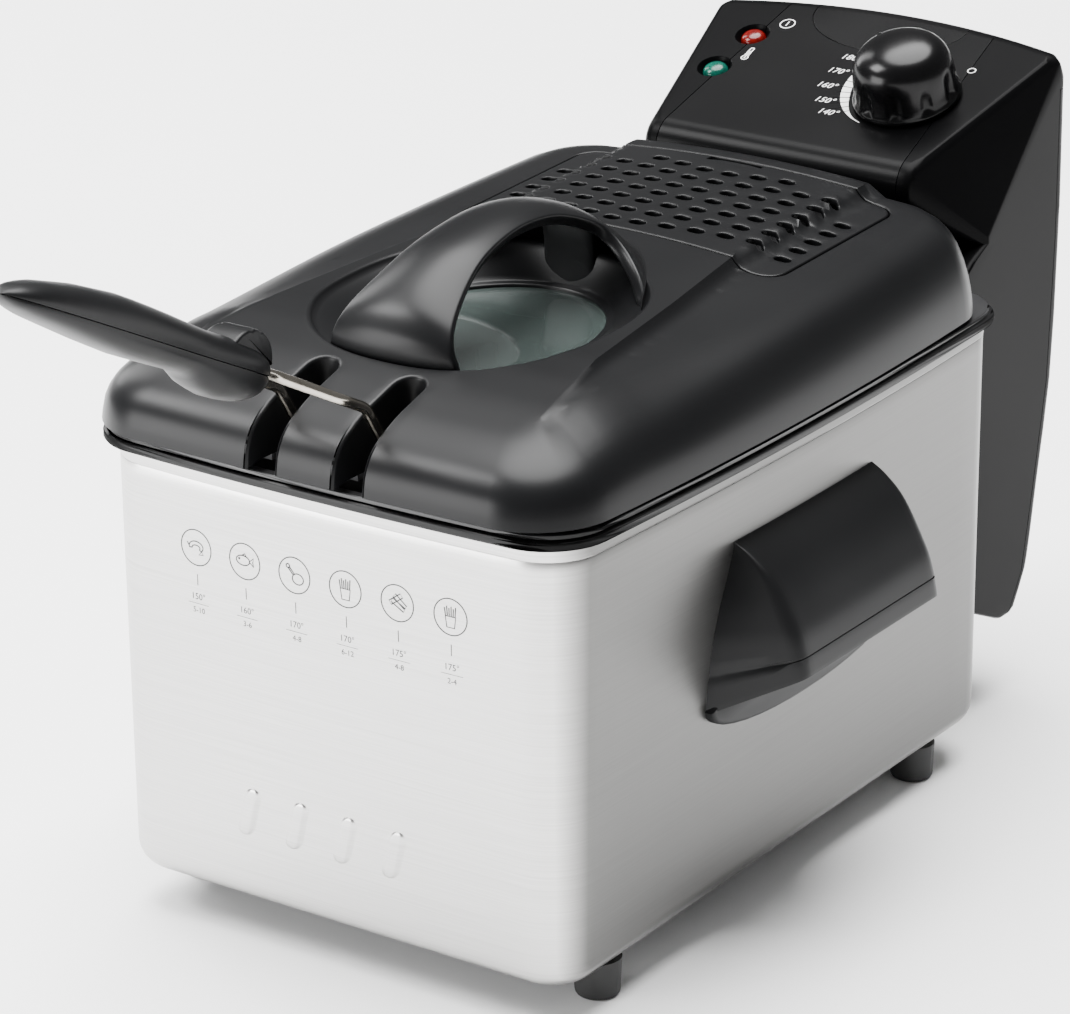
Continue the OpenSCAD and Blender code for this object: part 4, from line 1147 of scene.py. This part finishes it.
def make_knob():
    def at(a, b, h):
        return on_panel(KNOB_X + a, KNOB_U + b, h)

    def fluted(r, z, a):
        """Ten hollows round the lower half, each with a rounded top."""
        across = abs((((a + 0.31) * 10 / (2 * pi)) % 1) - 0.5) * 2
        rise = smooth((z - 3.2) / 2.5) * smooth((16.5 - z) / 6)
        return r - 1.35 * rise * max(0.0, 1 - (across / 0.45) ** 2) if r > 2 else r

    profile = [(22.2, 1.2), (22.9, 1.4), (23.2, 2.0), (23.1, 2.9), (22.7, 3.6), (22.3, 5), (22.1, 7), (21.9, 9.5),
               (21.7, 12),
               (21.4, 14.5), (21.0, 16.8), (20.4, 19), (19.5, 21), (18.2, 22.9), (16.4, 24.6), (14.0, 26.0), (11, 27.1),
               (7.6, 27.8), (4, 28.2), (0.001, 28.3)]
    mesh("knob_skin", lathe(profile, at, 160, fluted), GLOSS_BLACK, "knob_body", "gloss_plastic", ["knob"], 60)
    a = (90 + 60) * DEG
    dot = [at((16.9 + 1.3 * cos(t)) * cos(a) - 1.1 * sin(t) * sin(a),
              (16.9 + 1.3 * cos(t)) * sin(a) + 1.1 * sin(t) * cos(a), 24.55 - 1.1 * cos(t))
           for t in (2 * pi * k / 20 for k in range(20))]
    mesh("knob_dot", (dot, [tuple(range(20))]), WHITE_INK, "knob_body", "gloss_plastic", (), 60)


make_knob()


def make_lens(name, place_at, look, slot, node):
    x, u = place_at
    profile = [(5.6, -6.5), (5.6, -2.9), (5.45, -2.0), (5.0, -1.1), (4.2, -0.3), (3.0, 0.25), (1.6, 0.5), (0.001, 0.6)]
    mesh(name, lathe(profile, lambda a, b, h: on_panel(x + a, u + b, h), 48), look, "control_unit", slot, [node], 60)


make_lens("lamp_red", RED_AT, RED, "red_lens", "red_lens")
make_lens("lamp_green", GREEN_AT, GREEN, "green_lens", "green_lens")


# --- print

def ink_strips(paths, width):
    """Flat strips of the given width along plan paths, as (verts, faces) in plan."""
    verts, faces = [], []
    for path in paths:
        pts = [Vector(p) for p in path]
        closed = (pts[0] - pts[-1]).length < 1e-6
        base = len(verts)
        for i, p in enumerate(pts):
            a = pts[i - 1] if i else (pts[-2] if closed else p)
            b = pts[i + 1] if i + 1 < len(pts) else (pts[1] if closed else p)
            t = (b - a).normalized()
            n = Vector((-t.y, t.x)) * width / 2
            verts += [p + n, p - n]
        faces += [(base + 2 * i, base + 2 * i + 1, base + 2 * i + 3, base + 2 * i + 2) for i in range(len(pts) - 1)]
    return verts, faces


def circle_path(cx, cy, rx, ry=None, start=0, end=360, n=32):
    ry = rx if ry is None else ry
    return [(cx + rx * cos(t * DEG), cy + ry * sin(t * DEG))
            for t in (start + (end - start) * k / n for k in range(n + 1))]


def printed(name, shape, place_of, look, body, slot):
    v, f = shape
    mesh(name, ([place_of(*p) for p in v], f), look, body, slot, (), 180, merge=False)


def letters(text, size, cx, cy, slant=0.0, align="CENTER"):
    curve = bpy.data.curves.new("text", "FONT")
    curve.body, curve.size, curve.shear = text, size, slant
    curve.align_x, curve.align_y = align, "CENTER"
    curve.resolution_u = 3
    obj = linked("text", curve)
    bpy.context.view_layer.update()
    data = bpy.data.meshes.new_from_object(obj.evaluated_get(bpy.context.evaluated_depsgraph_get()))
    bpy.data.objects.remove(obj)
    return [Vector((cx + v.co.x, cy + v.co.y)) for v in data.vertices], [tuple(p.vertices) for p in data.polygons]


def panel_print(x, u):
    return on_panel(x, u, 0.06)


def front_print(x, z):
    return (x, front_y(x, z, 0.06), z)


def make_panel_print():
    scale = []
    for k in range(31):
        t = k / 30
        outer = 24.9 + 9.2 * t ** 1.15
        scale.append(((243 - 84 * t) * DEG, outer - 0.35 - 3.9 * smooth(1.5 * t), outer))
    verts, faces = [], []
    for a, inner, outer in scale:
        for r in (inner, outer):
            verts.append(Vector((KNOB_X + r * cos(a), KNOB_U + r * sin(a))))
    faces = [(2 * k, 2 * k + 1, 2 * k + 3, 2 * k + 2) for k in range(30)]
    printed("dial_scale", (verts, faces), panel_print, WHITE_INK, "control_unit", "black_plastic")
    ticks = []
    for k in range(8):
        a = (243 - 84 * (0.3 + 0.09 * k)) * DEG
        ticks.append([(KNOB_X + r * cos(a), KNOB_U + r * sin(a)) for r in (25, 33)])
    printed("dial_ticks", ink_strips(ticks, 0.45), lambda x, u: on_panel(x, u, 0.1), BADGE_BLACK, "control_unit",
            "black_plastic")
    marks = [("140°", 8.9, 20.9), ("150°", 2.9, 28.5), ("160°", -1.8, 38.6), ("170°", -2.7, 49.5),
             ("180°", -2.0, 60.1)]
    shapes = [letters(text, 5.1, x - 0.6, u, 0.2) for text, x, u in marks]
    shapes.append(ink_strips([circle_path(53.4, 65.6, 1.7, n=24)], 0.5))
    shapes.append(ink_strips([circle_path(-43.8, 75.9, 3.3, n=30), [(-43.8, 74.2), (-43.8, 77.6)]], 0.55))
    bulb = circle_path(-48.9, 47.6, 1.5, start=125, end=415, n=20)
    shapes.append(ink_strips([bulb, [(-49.7, 48.9), (-49.7, 54.2)], [(-48.1, 48.9), (-48.1, 54.2)],
                              circle_path(-48.9, 54.2, 0.8, start=0, end=180, n=8), [(-48.9, 47), (-48.9, 52.6)]], 0.6))
    printed("panel_marks", join(*shapes), panel_print, WHITE_INK, "control_unit", "black_plastic")


make_panel_print()


def icon(kind, x, z):
    """Simple line drawings of fried foods, about 8 mm across."""
    if kind == "chips":
        cup = [(x - 2.3, z - 0.2), (x - 1.7, z - 4.6), (x + 1.7, z - 4.6), (x + 2.3, z - 0.2), (x - 2.3, z - 0.2)]
        sticks = [[(x - 2.2 + 0.85 * k, z), (x - 2.6 + 1.0 * k, z + 3.2 + 0.7 * (k % 2))] for k in range(6)]
        return [cup] + sticks
    if kind == "fish":
        return [circle_path(x - 0.8, z, 3.2, 2.0, n=24),
                [(x + 2.2, z), (x + 4.4, z + 1.8), (x + 3.9, z), (x + 4.4, z - 1.8), (x + 2.2, z)],
                [(x - 1.4, z + 1.9), (x + 0.2, z + 2.9), (x + 0.8, z + 1.7)], circle_path(x - 2.6, z + 0.5, 0.3, n=8)]
    if kind == "leg":
        return [circle_path(x + 1.6, z - 1.6, 2.6, 2.2, n=24), [(x - 0.4, z - 0.4), (x - 2.9, z + 2.4)],
                [(x + 0.1, z + 0.2), (x - 2.3, z + 2.9)],
                circle_path(x - 2.9, z + 3.1, 0.8, n=12)]
    if kind == "prawn":
        return [circle_path(x, z, 3.4, 2.3, start=-40, end=200, n=20),
                circle_path(x, z - 0.3, 1.9, 1.0, start=-30, end=190, n=16),
                [(x - 3.3, z - 0.7), (x - 1.8, z - 0.5)], [(x + 2.7, z - 1.6), (x + 1.5, z - 1.0)],
                [(x - 3.2, z - 0.4), (x - 4.3, z + 1.4)],
                [(x + 2.6, z - 1.5), (x + 1.2, z - 3.1), (x + 3.4, z - 2.7), (x + 2.6, z - 1.5)]]
    rods = []
    for a, dx, dz in ((35, -0.6, 1.2), (-30, 0.4, -1.0), (-40, 1.2, 0.6)):
        c, s = cos(a * DEG), sin(a * DEG)
        loop = [(3.2, 0.9), (3.2, -0.9), (-3.2, -0.9), (-3.2, 0.9), (3.2, 0.9)]
        rods.append([(x + dx + c * p - s * q, z + dz + s * p + c * q) for p, q in loop])
    return rods


def make_front_print():
    labels = [("prawn", "150°", "5-10"), ("fish", "160°", "3-6"), ("leg", "170°", "4-8"), ("chips", "170°", "6-12"),
              ("rods", "175°", "4-8"), ("chips", "175°", "2-4")]
    shapes = []
    add = shapes.append
    for k, (kind, temp, time) in enumerate(labels):
        x, z = -60.3 + 23.75 * k, 162.9 - 0.18 * k
        add(ink_strips([circle_path(x, z, 7.3, n=40)], 0.5))
        add(ink_strips(icon(kind, x, z + 0.3), 0.5))
        add(ink_strips([[(x, z - 11), (x, z - 15.6)]], 0.36))
        add(letters(temp, 3.7, x, z - 20.4))
        add(ink_strips([[(x - 5, z - 23.2), (x + 5, z - 23.2)]], 0.18))
        add(letters(time, 3.2, x, z - 26.0))
    printed("front_marks", join(*shapes), front_print, DARK_INK, "casing_body", "brushed_steel")


make_front_print()


def make_emboss():
    """Four raised slanted ridges with rounded ends, pressed into the front low on the left."""
    parts = []
    length, half, height = 21.0, 4.4, 0.95
    for k in range(4):
        x0, z0 = -40.0 + 23 * k, 46.5
        rows = []
        for i in range(33):
            t = i / 32
            end = min(t, 1 - t) * length / half
            width = half * sqrt(max(0.0, 1 - max(0.0, 1 - end) ** 2)) + 0.02
            row = []
            for j in range(-8, 9):
                u = j / 8
                x = x0 + 5.5 * (t - 0.5) + width * u
                rise = smooth((1 - abs(u)) / 0.6) * min(1.0, width / half)
                row.append((x, front_y(x, z0 + length * t, 0.02 + height * rise), z0 + length * t))
            rows.append(row)
        parts.append(loft(rows, closed=False))
    mesh("front_emboss", join(*parts), STEEL, "casing_body", "brushed_steel", (), 180)


make_emboss()


# --- basket and its handle

GRIP = Vector((0, -195, 255))
ALONG = Vector((0, -cos(27.2 * DEG), sin(27.2 * DEG)))
ABOVE = Vector((0, sin(27.2 * DEG), cos(27.2 * DEG)))


def on_grip(s, n, x=0.0):
    return GRIP + ALONG * s + ABOVE * n + Vector((x, 0, 0))


GRIP_TOP = [(0, 1.0), (3, 5.6), (8, 8.2), (16, 9.2), (28, 9.6), (40, 9.4), (46.6, 9.7), (70.8, 11.2), (94.2, 12),
            (117.3, 10.6),
            (138.1, 7.6), (147.5, 4.6), (151.4, 2.0), (152.8, 0.2)]
GRIP_LOW = [(0, -0.6), (3, -5), (7, -9), (12, -11.4), (20.4, -13.0), (31.1, -13.2), (41.2, -11.3), (46, -9.0),
            (49, -7.9), (55, -7.9),
            (62.3, -8.2), (85.3, -8.6), (104.6, -7.6), (126.1, -6), (138.6, -5), (147.8, -3.1), (151.4, -1.5),
            (152.8, -0.2)]
GRIP_HALF = [(0, 1.5), (0.8, 4.2), (2, 6.2), (4, 8), (7, 9.7), (10, 10.7), (14, 11.4), (20, 12.0), (40, 11.2),
             (50, 10.8), (70, 11.8), (95, 12.8), (120, 12.4), (138, 10.6), (146, 8.2),
             (150, 5.2), (152, 2.6), (152.8, 0.6)]


def make_grip():
    stations = [0, 0.8, 2, 4, 7, 10, 14, 18, 24, 30, 36, 41, 45, 48, 52, 58, 66, 76, 86, 96, 106, 116, 124, 130, 136,
                141, 145,
                148, 150.3, 151.7, 152.5, 152.8]
    for name, table, sign, node in (("grip_top", GRIP_TOP, 1, "grip_upper"), ("grip_base", GRIP_LOW, -1, "grip_lower")):
        rings = []
        for s in stations:
            h, half = abs(interp(table, s)), interp(GRIP_HALF, s)
            ring = []
            gap, lip, power = 0.18, 0.5, 2.5
            for k in range(25):
                t = pi * k / 24
                c, si = cos(t), sin(t)
                x = half * copysign(abs(c) ** (2 / power), c)
                n = h * abs(si) ** (2 / power)
                shrink = lip * max(0.0, 1 - n / 1.2)
                x -= copysign(shrink * 0.7, x) if abs(x) > shrink else 0
                ring.append(on_grip(s, sign * max(n, gap), x))
            rings.append(ring)
        mesh(name, loft(rings, closed=True, cap_start=True, cap_end=True), HANDLE_BLACK, "handle_body",
             "black_plastic", [node], 50)
    # thumb button with two cross grooves
    outline = [(3.2, 5.2)]
    for k in range(0, 37):
        deg = 168 - 4.1 * k
        t = deg * DEG
        r = 13.6
        for g in (72, 97):
            r -= 0.8 * max(0.0, 1 - abs(deg - g) / 5.0)
        outline.append((16.5 + r * cos(t), 1.5 + r * sin(t)))
    outline += [(30.0, 5.2)]
    rings = []
    for x, inset in ((-7.6, 1.2), (-7.4, 0.5), (-6.8, 0.1), (-6, 0), (6, 0), (6.8, 0.1), (7.4, 0.5), (7.6, 1.2)):
        ring = []
        for s, n in outline:
            cx, cn = 16.5, 6
            d = hypot(s - cx, n - cn) or 1
            ring.append(on_grip(s - (s - cx) / d * inset, n - (n - cn) / d * inset, x))
        rings.append(ring)
    mesh("thumb_button_skin", loft(rings, cap_start=True, cap_end=True), HANDLE_BLACK, "thumb_body", "black_plastic",
         ["thumb_button"], 50)


make_grip()


def make_wires():
    parts = []
    for s in (-1, 1):
        near = GRIP + ALONG * -3 + ABOVE * (s * 1.2)
        deep = GRIP + ALONG * 20 + ABOVE * (s * 1.2)
        pts = [(s * 8.5, -138, 190), (s * 20, -138, 190), (s * 20, -140.5, 207), (s * 20, -158, 235),
               (s * 20, -172, 242.4),
               (s * 5.5, near.y, near.z), (s * 5.5, deep.y, deep.z)]
        parts.append(tube(eased(pts, 3.2, 7), 2.15, 16))
    mesh("handle_wire_pair", join(*parts), CHROME, "handle_body", "plated_wire", ["handle_wires"], 60)


make_wires()


def rounded_run(a, front, rear, z, r, n=8):
    out = []
    for cx, cy, start in ((a - r, front + r, -90), (a - r, rear - r, 0), (-a + r, rear - r, 90),
                          (-a + r, front + r, 180)):
        for k in range(n + 1):
            t = (start + 90 * k / n) * DEG
            out.append((cx + r * cos(t), cy + r * sin(t), z))
    return out


def make_basket():
    """Woven wire basket: hoops round it, and U-shaped wires down its walls and across its floor."""
    a, front, rear, floor, top = 77.0, -130.0, 115.0, 62.0, 183.6
    parts = []
    for k in range(10):
        z = floor + 2 + k * (top - floor - 6) / 9
        parts.append(tube(rounded_run(a, front, rear, z, 9), 0.9, 8, closed=True))
    count = 18
    for k in range(1, count):
        y = front + (rear - front) * k / count
        parts.append(tube(eased([(-a, y, top), (-a, y, floor), (a, y, floor), (a, y, top)], 6, 5), 0.9, 8))
    count = 11
    for k in range(1, count):
        x = -a + 2 * a * k / count
        parts.append(tube(eased([(x, front, top), (x, front, floor + 0.9), (x, rear, floor + 0.9), (x, rear, top)], 6,
                                5), 0.9, 8))
    mesh("basket_mesh", join(*parts), CHROME, "basket_body", "plated_wire",
         ["basket_sides", "basket_ends", "basket_floor_grid"], 60)


make_basket()


# --- stage and light

def make_stage():
    data = bpy.data.meshes.new("floor")
    data.from_pydata([(-9, -9, 0), (9, -9, 0), (9, 9, 0), (-9, 9, 0)], [], [(0, 1, 2, 3)])
    m, t, b = nodes_of("floor_white")
    f = noise(t, 3, detail=2)
    t.links.new(tint(t, f, (0.93, 0.93, 0.93), (0.95, 0.95, 0.95)), b.inputs["Base Color"])
    put(b, Roughness=0.6, Specular_IOR_Level=0.2)
    data.materials.append(m)
    linked("floor", data)
    world = bpy.data.worlds.new("studio")
    world.use_nodes = True
    put(world.node_tree.nodes["Background"], Color=(1, 1, 1, 1), Strength=0.22)
    bpy.context.scene.world = world


def softbox(name, at, aim, width, height, power):
    data = bpy.data.lights.new(name, "AREA")
    data.shape, data.size, data.size_y, data.energy = "RECTANGLE", width, height, power
    obj = linked(name, data)
    obj.location = at
    obj.rotation_euler = (Vector(aim) - Vector(at)).to_track_quat("-Z", "Y").to_euler()


def soft_sun(name, direction, strength, angle):
    data = bpy.data.lights.new(name, "SUN")
    data.energy, data.angle = strength, angle * DEG
    obj = linked(name, data)
    obj.rotation_euler = Vector(direction).to_track_quat("-Z", "Y").to_euler()


make_stage()
soft_sun("sky", (0.1, -0.16, -1), 12, 50)
softbox("key", (-1.35, -0.9, 1.85), (0, 0, 0.2), 0.8, 0.8, 70)
softbox("front_fill", (-1.3, -2.0, 0.5), (0, -0.16, 0.1), 1.3, 0.9, 60)
softbox("left_window", (-2.0, 0.6, 1.2), (0, 0, 0.2), 0.5, 1.6, 22)
